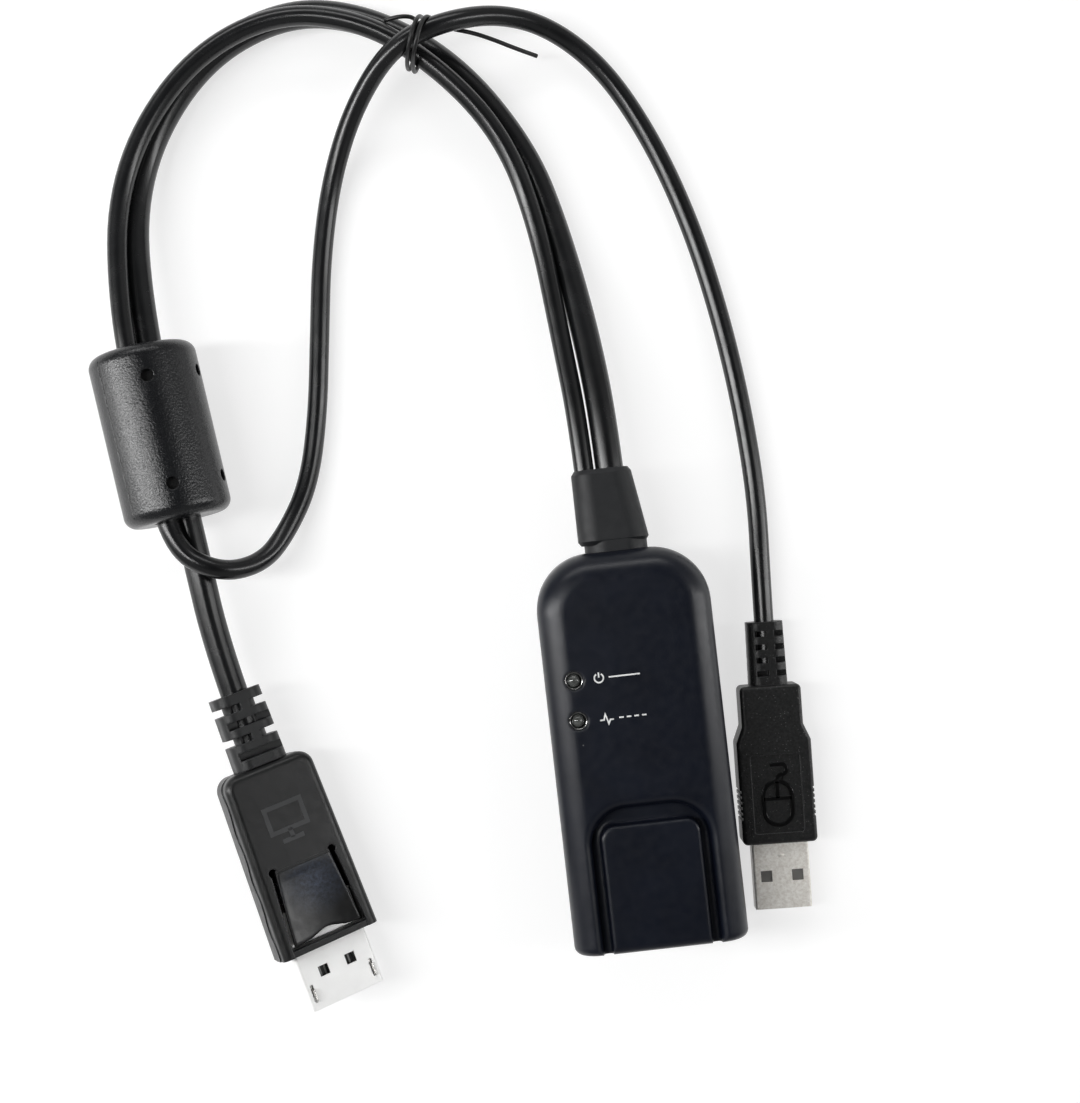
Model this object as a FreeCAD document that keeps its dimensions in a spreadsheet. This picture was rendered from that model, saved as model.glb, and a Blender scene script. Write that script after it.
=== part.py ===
import FreeCAD, Part
import Sketcher
import math
import os

V = FreeCAD.Vector
doc = FreeCAD.newDocument("KvmDongle")

# ---------------------------------------------------------------- driving sizes
sheet = doc.addObject("Spreadsheet::Sheet", "Sizes")
SIZES = (
    ("case_width", 36.0, "housing width"),
    ("jack_end", 49.3, "housing, origin to the network socket end"),
    ("cable_end", 32.5, "housing, origin to the cable end"),
    ("case_height", 22.0, "housing height"),
    ("split_height", 9.0, "height of the parting line"),
    ("wall", 1.8, "housing wall"),
    ("dome_round", 12.0, "plan corners at the cable end"),
    ("crown_round", 5.5, "rounding along the upper edges"),
    ("end_round", 1.7, "rounding of the socket end"),
    ("foot_round", 1.2, "rounding along the lower edges"),
    ("lip_inset", 0.95, "locating lip, inset from the outside"),
    ("lip_height", 1.2, "locating lip height"),
    ("lip_gap", 0.1, "clearance of the lip in its groove"),
    ("pad_half", 10.1, "raised pad over the socket, half width"),
    ("pad_reach", 26.1, "raised pad, length from the socket end"),
    ("pad_corner", 2.8, "raised pad, plan corners"),
    ("pad_edge", 0.6, "raised pad, edge rounding"),
    ("moat_gap", 2.0, "recess between pad and crest, width at the wall"),
    ("moat_apex", 3.5, "recess beyond the end of the pad"),
    ("moat_arch", 7.6, "recess, plan rounding of the arch"),
    ("moat_depth", 3.0, "recess depth"),
    ("crest_round", 1.9, "soft roll of the crest into the recess"),
    ("moat_floor_round", 0.85, "rounding at the recess floor"),
    ("roof_low", 6.4, "top of the housing down to the ceiling beside the pad"),
    ("roof", 2.0, "wall under the deck"),
    ("deck_inset", 5.6, "inset of the high ceiling"),
    ("deck_start", 15.0, "high ceiling starts this far from the origin"),
    ("lamp_inset", 6.0, "lamps, distance from the side of the housing"),
    ("lamp_place", 7.1, "power lamp, distance from the origin"),
    ("lamp_pitch", 8.2, "distance between the lamps"),
    ("lamp_width", 3.0, "lamp diameter"),
    ("lamp_recess", 3.9, "counterbore round each lamp"),
    ("lamp_recess_depth", 1.0, "counterbore depth"),
    ("lamp_gap", 0.1, "clearance round each lamp"),
    ("lamp_flange", 3.8, "lamp flange diameter"),
    ("lamp_sink", 2.6, "top of the housing down to where the lamp dome starts"),
    ("lead_size", 0.5, "lamp lead, square"),
    ("lead_pitch", 2.54, "lamp lead pitch"),
    ("board_base", 3.6, "underside of the circuit board"),
    ("board_thick", 1.6, "circuit board thickness"),
    ("board_gap", 1.2, "gap between the circuit board and the wall"),
    ("board_nose", 26.5, "circuit board, origin to its cable end"),
    ("board_nose_step", 3.0, "narrowing of the board at the cable end"),
    ("board_taper", 9.0, "length of the tapered end of the board"),
    ("post_front", 44.0, "front screws, distance from the origin"),
    ("post_rear", 22.0, "rear screws, distance from the origin"),
    ("post_front_side", 12.2, "front screws, distance from the centre line"),
    ("post_rear_side", 9.0, "rear screws, distance from the centre line"),
    ("post_width", 6.2, "board post diameter"),
    ("boss_width", 5.0, "screw boss diameter"),
    ("screw_width", 2.4, "screw shank diameter"),
    ("screw_gap", 0.3, "clearance of the screw in the base and board"),
    ("screw_head", 4.6, "screw head diameter"),
    ("screw_head_depth", 1.6, "screw head height"),
    ("screw_recess", 0.4, "screw head below the underside"),
    ("screw_length", 9.5, "screw shank length"),
    ("jack_half", 7.9, "network socket half width"),
    ("jack_length", 18.0, "network socket length"),
    ("jack_height", 13.2, "network socket height"),
    ("jack_gap", 0.15, "clearance round the socket shield"),
    ("shield_thick", 0.25, "socket shield sheet"),
    ("shield_lip", 0.4, "socket shield beyond the housing end"),
    ("port_half", 5.95, "plug cavity half width"),
    ("port_floor", 2.3, "plug cavity above the board"),
    ("port_height", 6.9, "plug cavity height"),
    ("port_depth", 13.6, "plug cavity depth"),
    ("latch_half", 3.2, "latch slot half width"),
    ("latch_height", 2.7, "latch slot height"),
    ("pin_pitch", 1.02, "contact pitch in the socket"),
    ("pin_wire", 0.45, "contact wire diameter"),
    ("chip_side", 10.0, "controller chip, side"),
    ("video_side", 8.0, "video chip, side"),
    ("chip_thick", 1.4, "chip thickness"),
    ("coil_width", 13.0, "line transformer width"),
    ("coil_length", 15.5, "line transformer length"),
    ("coil_height", 6.0, "line transformer height"),
    ("crystal_length", 11.2, "crystal can length"),
    ("crystal_width", 4.7, "crystal can width"),
    ("crystal_height", 3.5, "crystal can height"),
    ("cap_width", 5.0, "capacitor diameter"),
    ("cap_height", 5.8, "capacitor height"),
    ("header_depth", 5.8, "wire header, along the housing"),
    ("header_height", 4.9, "wire header height"),
    ("video_header", 17.0, "video wire header width"),
    ("bus_header", 8.0, "bus wire header width"),
    ("exit_height", 11.0, "height of the cables at the housing"),
    ("video_exit", 0.6, "video cable, offset from the centre line"),
    ("bus_exit", 4.7, "bus cable, offset from the centre line"),
    ("neck_half", 6.5, "boot neck half width"),
    ("neck_height", 12.4, "boot neck height"),
    ("neck_round", 4.4, "boot neck corner rounding"),
    ("flange_lip", 0.9, "boot flange beyond the neck"),
    ("flange_thick", 1.8, "boot flange inside the wall"),
    ("boot_start", 34.0, "origin to the wide end of the boot"),
    ("boot_end", 49.7, "origin to the narrow end of the boot"),
    ("boot_wide_half", 7.35, "boot half width at the wide end"),
    ("boot_wide_height", 12.6, "boot height at the wide end"),
    ("boot_narrow_half", 6.3, "boot half width at the narrow end"),
    ("boot_narrow_height", 9.4, "boot height at the narrow end"),
    ("boot_lean", 0.36, "sideways offset of the wide end"),
    ("boot_lean_end", 1.37, "sideways offset of the narrow end"),
    ("boot_round", 4.2, "boot corner rounding"),
    ("boot_edge", 0.9, "rounding of the boot ends"),
    ("cable_fit", 0.05, "clearance round a moulded-in cable"),
    ("video_cable", 5.9, "video cable diameter"),
    ("bus_cable", 4.2, "bus cable diameter"),
    ("ferrite_width", 22.4, "ferrite choke diameter"),
    ("ferrite_length", 36.5, "ferrite choke length"),
    ("ferrite_round", 2.6, "rounding of the choke ends"),
    ("core_width", 18.4, "ferrite core diameter"),
    ("core_length", 28.5, "ferrite core length"),
    ("core_bore", 12.0, "ferrite core bore"),
    ("dimple_width", 2.6, "mould pin holes, diameter"),
    ("dimple_depth", 2.2, "mould pin holes, depth"),
    ("dimple_pitch", 22.5, "mould pin holes, spacing along the choke"),
    ("dimple_angle", 35.5, "mould pin holes, angle from the mould centre"),
    ("mould_turn", 47.6, "mould centre of the choke, angle from the top"),
    ("seam_width", 0.3, "parting line groove on the choke"),
    ("seam_depth", 0.2, "parting line groove depth"),
    ("tie_wire", 0.9, "twist tie diameter"),
    ("vp_length", 39.5, "video plug, moulded body length"),
    ("vp_half", 10.75, "video plug, half width at the front"),
    ("vp_back_half", 9.9, "video plug, half width at the back"),
    ("vp_thick", 10.5, "video plug thickness"),
    ("vp_corner", 3.2, "video plug, plan corners at the back"),
    ("vp_edge", 1.6, "video plug, rounding of the long edges"),
    ("vp_band", 3.4, "video plug, height of the middle frame"),
    ("vp_wave", 0.6, "video plug, rise of the wavy parting lines"),
    ("vp_band_proud", 0.2, "video plug, middle frame beyond the covers"),
    ("vp_wall", 1.7, "video plug wall"),
    ("vp_cover", 1.5, "video plug, thickness of the cover plates"),
    ("button_root", 17.9, "release tongue, root behind the front face"),
    ("button_front", 2.15, "release tongue, free end behind the front"),
    ("button_root_half", 6.2, "release tongue, half width at the root"),
    ("button_half", 7.45, "release tongue, half width at the free end"),
    ("button_slot", 1.0, "slot beside the release tongue"),
    ("button_eye", 1.8, "round start of each slot"),
    ("button_gap", 0.15, "gap at the root of the tongue"),
    ("button_sink", 0.35, "front rim below the top of the plug"),
    ("button_travel", 1.0, "free end travel of the tongue"),
    ("vs_half", 8.05, "video shell half width"),
    ("vs_height", 4.76, "video shell height"),
    ("vs_reach", 12.3, "video shell beyond the plug body"),
    ("vs_root", 9.0, "video shell inside the plug body"),
    ("vs_sheet", 0.3, "video shell sheet"),
    ("vs_slant", 1.6, "video shell, bevelled lower corner"),
    ("vs_window", 2.2, "video shell window side"),
    ("vs_window_side", 3.05, "video shell windows, off the centre line"),
    ("vs_window_place", 5.1, "video shell windows, from the body"),
    ("vs_slit_side", 6.75, "latch slits, off the centre line"),
    ("vs_slit_place", 8.8, "latch slits, from the body"),
    ("vs_slit_length", 3.8, "latch slit length"),
    ("vs_slit_width", 0.7, "latch slit width"),
    ("vr_length", 16.0, "video strain relief length"),
    ("vr_half", 5.4, "video strain relief half width"),
    ("vr_height", 9.0, "video strain relief height"),
    ("vr_round", 3.0, "video strain relief corner rounding"),
    ("vr_pitch", 3.35, "video strain relief, slot pitch"),
    ("vr_slot", 1.6, "video strain relief, slot width"),
    ("vr_sleeve", 0.5, "video strain relief, sleeve round the cable"),
    ("vr_spine", 2.0, "video strain relief, width of the spine"),
    ("vr_rim", 1.0, "video strain relief, rim at the closed end of a slot"),
    ("vr_bore", 11.5, "depth of the cable in the video relief"),
    ("tongue_half", 6.4, "video contact tongue half width"),
    ("tongue_thick", 1.5, "video contact tongue thickness"),
    ("tongue_reach", 10.6, "video contact tongue beyond the body"),
    ("blade_pitch", 1.1, "video contact pitch"),
    ("blade_width", 0.35, "video contact width"),
    ("blade_thick", 0.2, "contact sheet"),
    ("hook_length", 2.6, "latch hook length"),
    ("hook_tip", 10.4, "latch hook tip beyond the body"),
    ("latch_root", 15.0, "latch spring pivot behind the front face"),
    ("push_place", 10.0, "tongue studs behind the front face"),
    ("push_gap", 0.35, "gap between the studs and the latch spring"),
    ("hook_rise", 0.75, "latch hook above the shell"),
    ("spring_sheet", 0.4, "latch spring sheet"),
    ("up_length", 33.5, "bus plug, moulded body length"),
    ("up_half", 7.9, "bus plug half width at the front"),
    ("up_neck_half", 6.5, "bus plug half width of the narrow part"),
    ("up_neck", 8.5, "bus plug, length of the narrow part"),
    ("up_shoulder", 3.4, "bus plug, length of the shoulder"),
    ("up_thick", 8.0, "bus plug thickness"),
    ("up_round", 1.1, "bus plug edge rounding"),
    ("up_panel_half", 5.25, "bus plug, recessed panel half width"),
    ("up_panel_length", 16.6, "bus plug, recessed panel length"),
    ("up_panel_place", 2.3, "bus plug, panel from the front face"),
    ("up_panel_depth", 0.4, "bus plug, panel depth"),
    ("up_rib_pitch", 1.15, "bus plug, grip groove pitch"),
    ("up_rib_depth", 0.35, "bus plug, grip groove depth"),
    ("up_rib_place", 8.5, "bus plug, grip grooves from the front face"),
    ("us_half", 6.0, "bus shell half width"),
    ("us_height", 4.5, "bus shell height"),
    ("us_reach", 13.9, "bus shell beyond the plug body"),
    ("us_root", 5.0, "bus shell inside the plug body"),
    ("us_sheet", 0.3, "bus shell sheet"),
    ("us_window", 2.4, "bus shell window side"),
    ("us_window_side", 3.3, "bus shell windows, off the centre line"),
    ("us_window_place", 7.0, "bus shell windows, from the body"),
    ("us_tongue", 1.9, "bus insulator thickness"),
    ("us_blade_width", 1.0, "bus contact width"),
    ("us_blade_inner", 1.0, "inner bus contacts, off the centre line"),
    ("us_blade_outer", 3.5, "outer bus contacts, off the centre line"),
    ("ur_length", 13.4, "bus strain relief length"),
    ("ur_half", 4.0, "bus strain relief half width"),
    ("ur_height", 6.6, "bus strain relief height"),
    ("ur_round", 2.4, "bus strain relief corner rounding"),
    ("ur_pitch", 2.8, "bus strain relief, slot pitch"),
    ("ur_slot", 1.2, "bus strain relief, slot width"),
    ("ur_bore", 8.9, "depth of the cable in the bus relief"),
    ("video_plug_lift", 8.7, "video plug axis above the ground"),
    ("video_plug_turn", 14.0, "video plug, turn in plan"),
    ("video_plug_roll", 24.0, "video plug, roll about its axis"),
    ("bus_plug_turn", -2.5, "bus plug, turn in plan"),
    ("choke_turn", 6.9, "ferrite choke, turn in plan"),
)
for row, (alias, value, note) in enumerate(SIZES, start=1):
    sheet.set("A%d" % row, note)
    sheet.set("B%d" % row, str(value))
    sheet.setAlias("B%d" % row, alias)
doc.recompute()


class Dim:
    """A length that carries its value together with the sheet formula behind it."""

    def __init__(self, value, text):
        self.value = value
        self.text = text

    def __add__(self, other):
        other = dim(other)
        return Dim(self.value + other.value, "(%s + %s)" % (self.text, other.text))

    def __sub__(self, other):
        other = dim(other)
        return Dim(self.value - other.value, "(%s - %s)" % (self.text, other.text))

    def __mul__(self, other):
        other = dim(other)
        return Dim(self.value * other.value, "(%s * %s)" % (self.text, other.text))

    def __truediv__(self, other):
        other = dim(other)
        return Dim(self.value / other.value, "(%s / %s)" % (self.text, other.text))

    def __radd__(self, other):
        return dim(other) + self

    def __rsub__(self, other):
        return dim(other) - self

    def __rmul__(self, other):
        return dim(other) * self

    def __neg__(self):
        return dim(0) - self


def dim(number):
    if isinstance(number, Dim):
        return number
    return Dim(float(number), repr(float(number)))


class Named:
    """Reads the sheet: s.wall is the wall with its formula."""

    def __getattr__(self, alias):
        return Dim(float(sheet.get(alias)), "Sizes." + alias)


s = Named()


def bind(thing, prop, amount):
    """Give a property its value through the sheet where the amount comes from it."""
    amount = dim(amount)
    if "Sizes." in amount.text:
        thing.setExpression(prop, amount.text)
    elif "." not in prop:
        setattr(thing, prop, amount.value)
    return amount.value


def settle(thing, x, y, z, turn=None):
    """Place an object at x, y, z, with an optional fixed turn."""
    at = V(dim(x).value, dim(y).value, dim(z).value)
    thing.Placement = FreeCAD.Placement(at, turn or FreeCAD.Rotation())
    bind(thing, "Placement.Base.x", x)
    bind(thing, "Placement.Base.y", y)
    bind(thing, "Placement.Base.z", z)


# ------------------------------------------------------------ primitive helpers
def block(name, x0, x1, y0, y1, z0, z1):
    """A box between two opposite corners."""
    thing = doc.addObject("Part::Box", name)
    bind(thing, "Length", dim(x1) - x0)
    bind(thing, "Width", dim(y1) - y0)
    bind(thing, "Height", dim(z1) - z0)
    settle(thing, x0, y0, z0)
    return thing


TURNS = {
    "x": FreeCAD.Rotation(V(0, 1, 0), 90),
    "y": FreeCAD.Rotation(V(1, 0, 0), -90),
    "z": FreeCAD.Rotation(),
}


def rod(name, x, y, z, diameter, length, along="z"):
    """A cylinder that starts at x, y, z and runs along an axis."""
    thing = doc.addObject("Part::Cylinder", name)
    bind(thing, "Radius", dim(diameter) / 2)
    bind(thing, "Height", length)
    settle(thing, x, y, z, TURNS[along])
    return thing


def fuse(name, things):
    thing = doc.addObject("Part::MultiFuse", name)
    thing.Shapes = things
    thing.Refine = False
    return thing


def cut(name, base, tools):
    """Base without its tools; the volume has to drop."""
    thing = doc.addObject("Part::Cut", name)
    thing.Base = base
    thing.Tool = tools[0] if len(tools) == 1 else fuse(name + "_tools", tools)
    thing.Refine = False
    doc.recompute()
    if thing.Shape.Volume > base.Shape.Volume - 1e-6:
        raise ValueError(name + ": the tools miss the base")
    return thing


def common(name, things):
    thing = doc.addObject("Part::MultiCommon", name)
    thing.Shapes = things
    return thing


# ---------------------------------------------------------- part design helpers
def new_body(name):
    body = doc.addObject("PartDesign::Body", name)
    body.Label = name
    return body


def new_sketch(body, role, lift=0):
    """A sketch on one of the body's origin planes, lifted along its normal."""
    sketch = body.newObject("Sketcher::SketchObject", body.Name + "_sketch")
    for plane in body.Origin.OriginFeatures:
        if plane.Role == role:
            sketch.AttachmentSupport = [(plane, "")]
    sketch.MapMode = "FlatFace"
    lift = dim(lift)
    sketch.AttachmentOffset = FreeCAD.Placement(V(0, 0, lift.value), FreeCAD.Rotation())
    bind(sketch, "AttachmentOffset.Base.z", lift)
    return sketch


def hold(sketch, kind, geometry, point, amount):
    """Fix one coordinate or radius of the sketch to the sheet."""
    amount = dim(amount)
    if point is None:
        row = sketch.addConstraint(Sketcher.Constraint(kind, geometry, amount.value))
    else:
        rule = Sketcher.Constraint(kind, geometry, point, amount.value)
        row = sketch.addConstraint(rule)
    if "Sizes." in amount.text:
        sketch.setExpression("Constraints[%d]" % row, amount.text)


def outline(sketch, corners):
    """A closed outline. A corner is (x, y), or (x, y, radius) where an arc follows it:
    counter-clockwise for a positive radius, clockwise for a negative one."""
    count = len(corners)
    flat = [V(dim(c[0]).value, dim(c[1]).value, 0) for c in corners]
    starts = []
    rows = []
    for i, corner in enumerate(corners):
        a = flat[i]
        b = flat[(i + 1) % count]
        if len(corner) == 2:
            rows.append(sketch.addGeometry(Part.LineSegment(a, b), False))
            starts.append(1)
            continue
        radius = abs(dim(corner[2]).value)
        side = 1 if dim(corner[2]).value > 0 else -1
        half = (b - a) * 0.5
        rise = math.sqrt(max(radius ** 2 - half.Length ** 2, 0.0))
        away = V(-half.y, half.x, 0).normalize() * (rise * side)
        centre = a + half + away
        if side < 0:
            a, b = b, a
        begin = math.atan2(a.y - centre.y, a.x - centre.x)
        end = math.atan2(b.y - centre.y, b.x - centre.x)
        circle = Part.Circle(centre, V(0, 0, 1), radius)
        rows.append(sketch.addGeometry(Part.ArcOfCircle(circle, begin, end), False))
        starts.append(1 if side > 0 else 2)
    for i in range(count):
        j = (i + 1) % count
        last = 3 - starts[i]
        rule = Sketcher.Constraint("Coincident", rows[i], last, rows[j], starts[j])
        sketch.addConstraint(rule)
    for i, corner in enumerate(corners):
        hold(sketch, "DistanceX", rows[i], starts[i], corner[0])
        hold(sketch, "DistanceY", rows[i], starts[i], corner[1])
        if len(corner) == 3:
            size = dim(corner[2])
            hold(sketch, "Radius", rows[i], None, size if size.value > 0 else -size)


def ring(sketch, x, y, diameter):
    """A circle held by its centre and radius."""
    x, y, radius = dim(x), dim(y), dim(diameter) / 2
    circle = Part.Circle(V(x.value, y.value, 0), V(0, 0, 1), radius.value)
    row = sketch.addGeometry(circle, False)
    hold(sketch, "DistanceX", row, 3, x)
    hold(sketch, "DistanceY", row, 3, y)
    hold(sketch, "Radius", row, None, radius)


def pad(body, sketch, length, back=False, both=False):
    step = body.newObject("PartDesign::Pad", body.Name + "_pad")
    step.Profile = sketch
    step.Reversed = back
    step.Midplane = both
    bind(step, "Length", length)
    return step


def pocket(body, sketch, depth, back=False, both=False):
    """Cut a sketch out of the body; the volume has to drop."""
    doc.recompute()
    before = body.Shape.Volume
    step = body.newObject("PartDesign::Pocket", body.Name + "_pocket")
    step.Profile = sketch
    step.Reversed = back
    step.Midplane = both
    bind(step, "Length", depth)
    doc.recompute()
    if body.Shape.Volume > before - 1e-6:
        raise ValueError(body.Name + ": the pocket cuts nothing")
    return step


def soften(body, radius, chosen):
    """Fillet the edges of the body for which chosen(edge box) is true."""
    doc.recompute()
    base = body.Tip
    names = []
    for number, edge in enumerate(base.Shape.Edges, start=1):
        if chosen(edge.BoundBox):
            names.append("Edge%d" % number)
    step = body.newObject("PartDesign::Fillet", body.Name + "_fillet")
    step.Base = (base, names)
    bind(step, "Radius", radius)
    doc.recompute()
    return step


def near(a, b, slack=0.02):
    return abs(a - dim(b).value) < slack


def bar(body, x0, x1, z0, z1, radius, y0, y1):
    """Pad a round-cornered section from y0 to y1."""
    sketch = new_sketch(body, "XZ_Plane", -dim(y0))
    round_outline(sketch, x0, x1, z0, z1, radius)
    return pad(body, sketch, dim(y1) - y0, back=True)


def round_outline(sketch, x0, x1, y0, y1, radius):
    """A rectangle with four equal round corners."""
    x0, x1, y0, y1 = dim(x0), dim(x1), dim(y0), dim(y1)
    outline(sketch, [
        (x0 + radius, y0), (x1 - radius, y0, radius),
        (x1, y0 + radius), (x1, y1 - radius, radius),
        (x1 - radius, y1), (x0 + radius, y1, radius),
        (x0, y1 - radius), (x0, y0 + radius, radius),
    ])


pieces = []


def piece(thing, name, spot=None):
    """Name a finished sub-part, and set it down with its group."""
    thing.Label = name
    if spot is not None:
        thing.Placement = spot.multiply(thing.Placement)
    pieces.append(thing)
    return thing


# ------------------------------------------------------------------ the housing
def case_outline(sketch, inset, jack_inset):
    """Plan of the housing moved inwards: square socket end, round cable end."""
    half = s.case_width / 2 - inset
    tail = s.cable_end - inset
    bend = s.dome_round - inset
    front = jack_inset - s.jack_end
    outline(sketch, [
        (-half, front), (half, front),
        (half, tail - bend, bend), (half - bend, tail),
        (bend - half, tail, bend), (-half, tail - bend),
    ])


def case_block(name, inset, jack_inset, low, high):
    body = new_body(name)
    sketch = new_sketch(body, "XY_Plane", low)
    case_outline(sketch, inset, jack_inset)
    pad(body, sketch, dim(high) - low)
    return body


def round_socket_end(body, bottom):
    """Round the socket end of the housing all the way up and over."""
    def end_edge(box):
        flat = near(box.YMin, -s.jack_end) and near(box.YMax, -s.jack_end)
        return flat and not (near(box.ZMin, bottom) and near(box.ZMax, bottom))
    soften(body, s.end_round, end_edge)


# Upper half: an envelope with rounded crown meets a block with the sculpted recess.
envelope = case_block("crown", 0, 0, s.split_height, s.case_height)
top = s.case_height
soften(envelope, s.crown_round, lambda b: near(b.ZMin, top) and near(b.ZMax, top)
       and not near(b.YMax, -s.jack_end))
round_socket_end(envelope, s.split_height)

sculpt = new_body("sculpt")
sketch = new_sketch(sculpt, "XY_Plane", s.split_height)
beyond = -(s.jack_end + 4)
outline(sketch, [
    (-s.case_width, beyond), (s.case_width, beyond),
    (s.case_width, s.cable_end + 4), (-s.case_width, s.cable_end + 4),
])
pad(sculpt, sketch, s.case_height - s.split_height)
sketch = new_sketch(sculpt, "XY_Plane", s.case_height)
moat = s.pad_half + s.moat_gap
apex = s.pad_reach + s.moat_apex - s.jack_end
pad_top = s.pad_reach - s.jack_end
outline(sketch, [
    (s.pad_half, beyond - 1), (moat, beyond - 1),
    (moat, apex - s.moat_arch, s.moat_arch), (moat - s.moat_arch, apex),
    (s.moat_arch - moat, apex, s.moat_arch), (-moat, apex - s.moat_arch),
    (-moat, beyond - 1), (-s.pad_half, beyond - 1),
    (-s.pad_half, pad_top - s.pad_corner, -s.pad_corner),
    (s.pad_corner - s.pad_half, pad_top),
    (s.pad_half - s.pad_corner, pad_top, -s.pad_corner),
    (s.pad_half, pad_top - s.pad_corner),
])
pocket(sculpt, sketch, s.moat_depth)
floor = s.case_height - s.moat_depth


def level(box, height):
    return near(box.ZMin, height) and near(box.ZMax, height)


def on_pad(box):
    wide = max(abs(box.XMin), abs(box.XMax)) < s.pad_half.value + 0.01
    return wide and box.YMax < pad_top.value + 0.01


def inside_block(box):
    return max(abs(box.XMin), abs(box.XMax)) < moat.value + 0.01


def on_crest(box):
    return inside_block(box) and not on_pad(box) and box.YMax - box.YMin > 0.01


def not_end(box):
    return not near(box.YMax, beyond)


soften(sculpt, s.crest_round, lambda b: level(b, top) and on_crest(b) or
       level(b, top) and near(b.YMin, apex) and near(b.YMax, apex))
soften(sculpt, s.moat_floor_round, lambda b: level(b, floor) and not_end(b)
       and b.YMax > beyond.value + 1)
soften(sculpt, s.pad_edge, lambda b: level(b, top) and on_pad(b) and not_end(b))
upper = common("upper_block", [envelope, sculpt])
doc.recompute()

# Inner spaces of the upper half.
ceiling_low = s.case_height - s.roof_low
ceiling_high = s.case_height - s.roof
lamp_offset = s.case_width / 2 - s.lamp_inset
lamp_shoulder = s.case_height - s.lamp_sink
board_half = s.case_width / 2 - s.wall - s.board_gap
board_nose_half = board_half - s.board_nose_step
room = case_block("room", s.wall, s.wall, s.split_height - 1, ceiling_low)
attic = new_body("attic")
sketch = new_sketch(attic, "XY_Plane", ceiling_low - 1)
half = s.case_width / 2 - s.deck_inset
tail = s.cable_end - s.deck_inset
bend = s.dome_round - s.deck_inset
outline(sketch, [
    (-half, -s.deck_start), (half, -s.deck_start),
    (half, tail - bend, bend), (half - bend, tail),
    (bend - half, tail, bend), (-half, tail - bend),
])
pad(attic, sketch, ceiling_high - ceiling_low + 1)
groove = case_block("lip_groove", s.lip_inset - s.lip_gap, s.lip_inset - s.lip_gap,
                    s.split_height - 1, s.split_height + s.lip_height + s.lip_gap)
lamp_y = [s.lamp_place, s.lamp_place - s.lamp_pitch]
lamp_bay = block("lamp_bay", -(lamp_offset + s.lamp_flange * 0.6),
                 s.lamp_flange * 0.6 - lamp_offset,
                 lamp_y[1] - s.lamp_flange * 0.7, lamp_y[0] + s.lamp_flange * 0.7,
                 ceiling_low - 1, lamp_shoulder - s.lamp_gap)
board_top = s.board_base + s.board_thick
jack_back = s.jack_length - s.jack_end
jack_side = s.jack_half + s.shield_thick + s.jack_gap
jack_top = board_top + s.jack_height
bay_top = jack_top + s.shield_thick + s.jack_gap
jack_bay = block("jack_bay", -jack_side, jack_side, -s.jack_end - 2,
                 jack_back + s.shield_thick + s.jack_gap,
                 board_top - s.jack_gap, bay_top)
neck = new_body("neck_hole")
bar(neck, -s.neck_half, s.neck_half, s.exit_height - s.neck_height / 2,
    s.exit_height + s.neck_height / 2, s.neck_round,
    s.cable_end - s.wall - 1, s.cable_end + 2)
collar = s.neck_half + s.flange_lip
rise = s.neck_height / 2 + s.flange_lip
inner = s.cable_end - s.wall
collar_room = new_body("collar_room")
bar(collar_room, -collar - s.jack_gap, collar + s.jack_gap,
    s.exit_height - rise - s.jack_gap, s.exit_height + rise + s.jack_gap,
    s.neck_round + s.flange_lip, inner - s.flange_thick * 2, inner)
hollow = cut("upper_shell", upper,
             [room, attic, groove, lamp_bay, jack_bay, neck, collar_room])

SCREWS = [
    (s.post_front_side, -s.post_front), (-s.post_front_side, -s.post_front),
    (s.post_rear_side, s.post_rear), (-s.post_rear_side, s.post_rear),
]
bosses = []
pilots = []
for number, (x, y) in enumerate(SCREWS, start=1):
    bosses.append(rod("boss_%d" % number, x, y, board_top, s.boss_width,
                      ceiling_low + 0.5 - board_top))
    pilots.append(rod("pilot_%d" % number, x, y, board_top - 1, s.screw_width,
                      s.screw_length - s.board_thick + 1.5))
rear_bosses = []
for number in (3, 4):
    x, y = SCREWS[number - 1]
    rear_bosses.append(rod("boss_tall_%d" % number, x, y, ceiling_low - 1,
                           s.boss_width, ceiling_high - ceiling_low + 1.5))
for number, y in enumerate(lamp_y, start=1):
    pilots.append(rod("lamp_hole_%d" % number, -lamp_offset, y, ceiling_low,
                      s.lamp_width + s.lamp_gap * 2, s.case_height - ceiling_low))
    pilots.append(rod("lamp_recess_%d" % number, -lamp_offset, y,
                      s.case_height - s.lamp_recess_depth, s.lamp_recess,
                      s.lamp_recess_depth + 1))
with_bosses = fuse("upper_bosses", [hollow] + bosses + rear_bosses)
housing_top = piece(cut("upper_half", with_bosses, pilots), "housing_top")

# Lower half: a tray with a locating lip, board posts and counterbored screw holes.
tray = case_block("tray", 0, 0, 0, s.split_height)
round_socket_end(tray, s.split_height)
soften(tray, s.foot_round, lambda b: near(b.ZMin, 0) and near(b.ZMax, 0))
lip = case_block("lip", s.lip_inset, s.lip_inset, s.split_height - 1,
                 s.split_height + s.lip_height)
well = case_block("well", s.wall, s.wall, s.wall, s.split_height + s.lip_height + 1)
stock = fuse("tray_stock", [tray, lip])
jack_mouth = block("jack_mouth", -jack_side, jack_side, -s.jack_end - 2,
                   s.wall * 2 - s.jack_end, board_top - s.jack_gap, s.case_height)
neck_mouth = new_body("neck_mouth")
bar(neck_mouth, -s.neck_half, s.neck_half, s.exit_height - s.neck_height / 2,
    s.exit_height + s.neck_height / 2, s.neck_round,
    s.cable_end - s.wall - 1, s.cable_end + 2)
open_tray = cut("open_tray", stock, [well, jack_mouth, neck_mouth])
posts = []
drills = []
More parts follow.
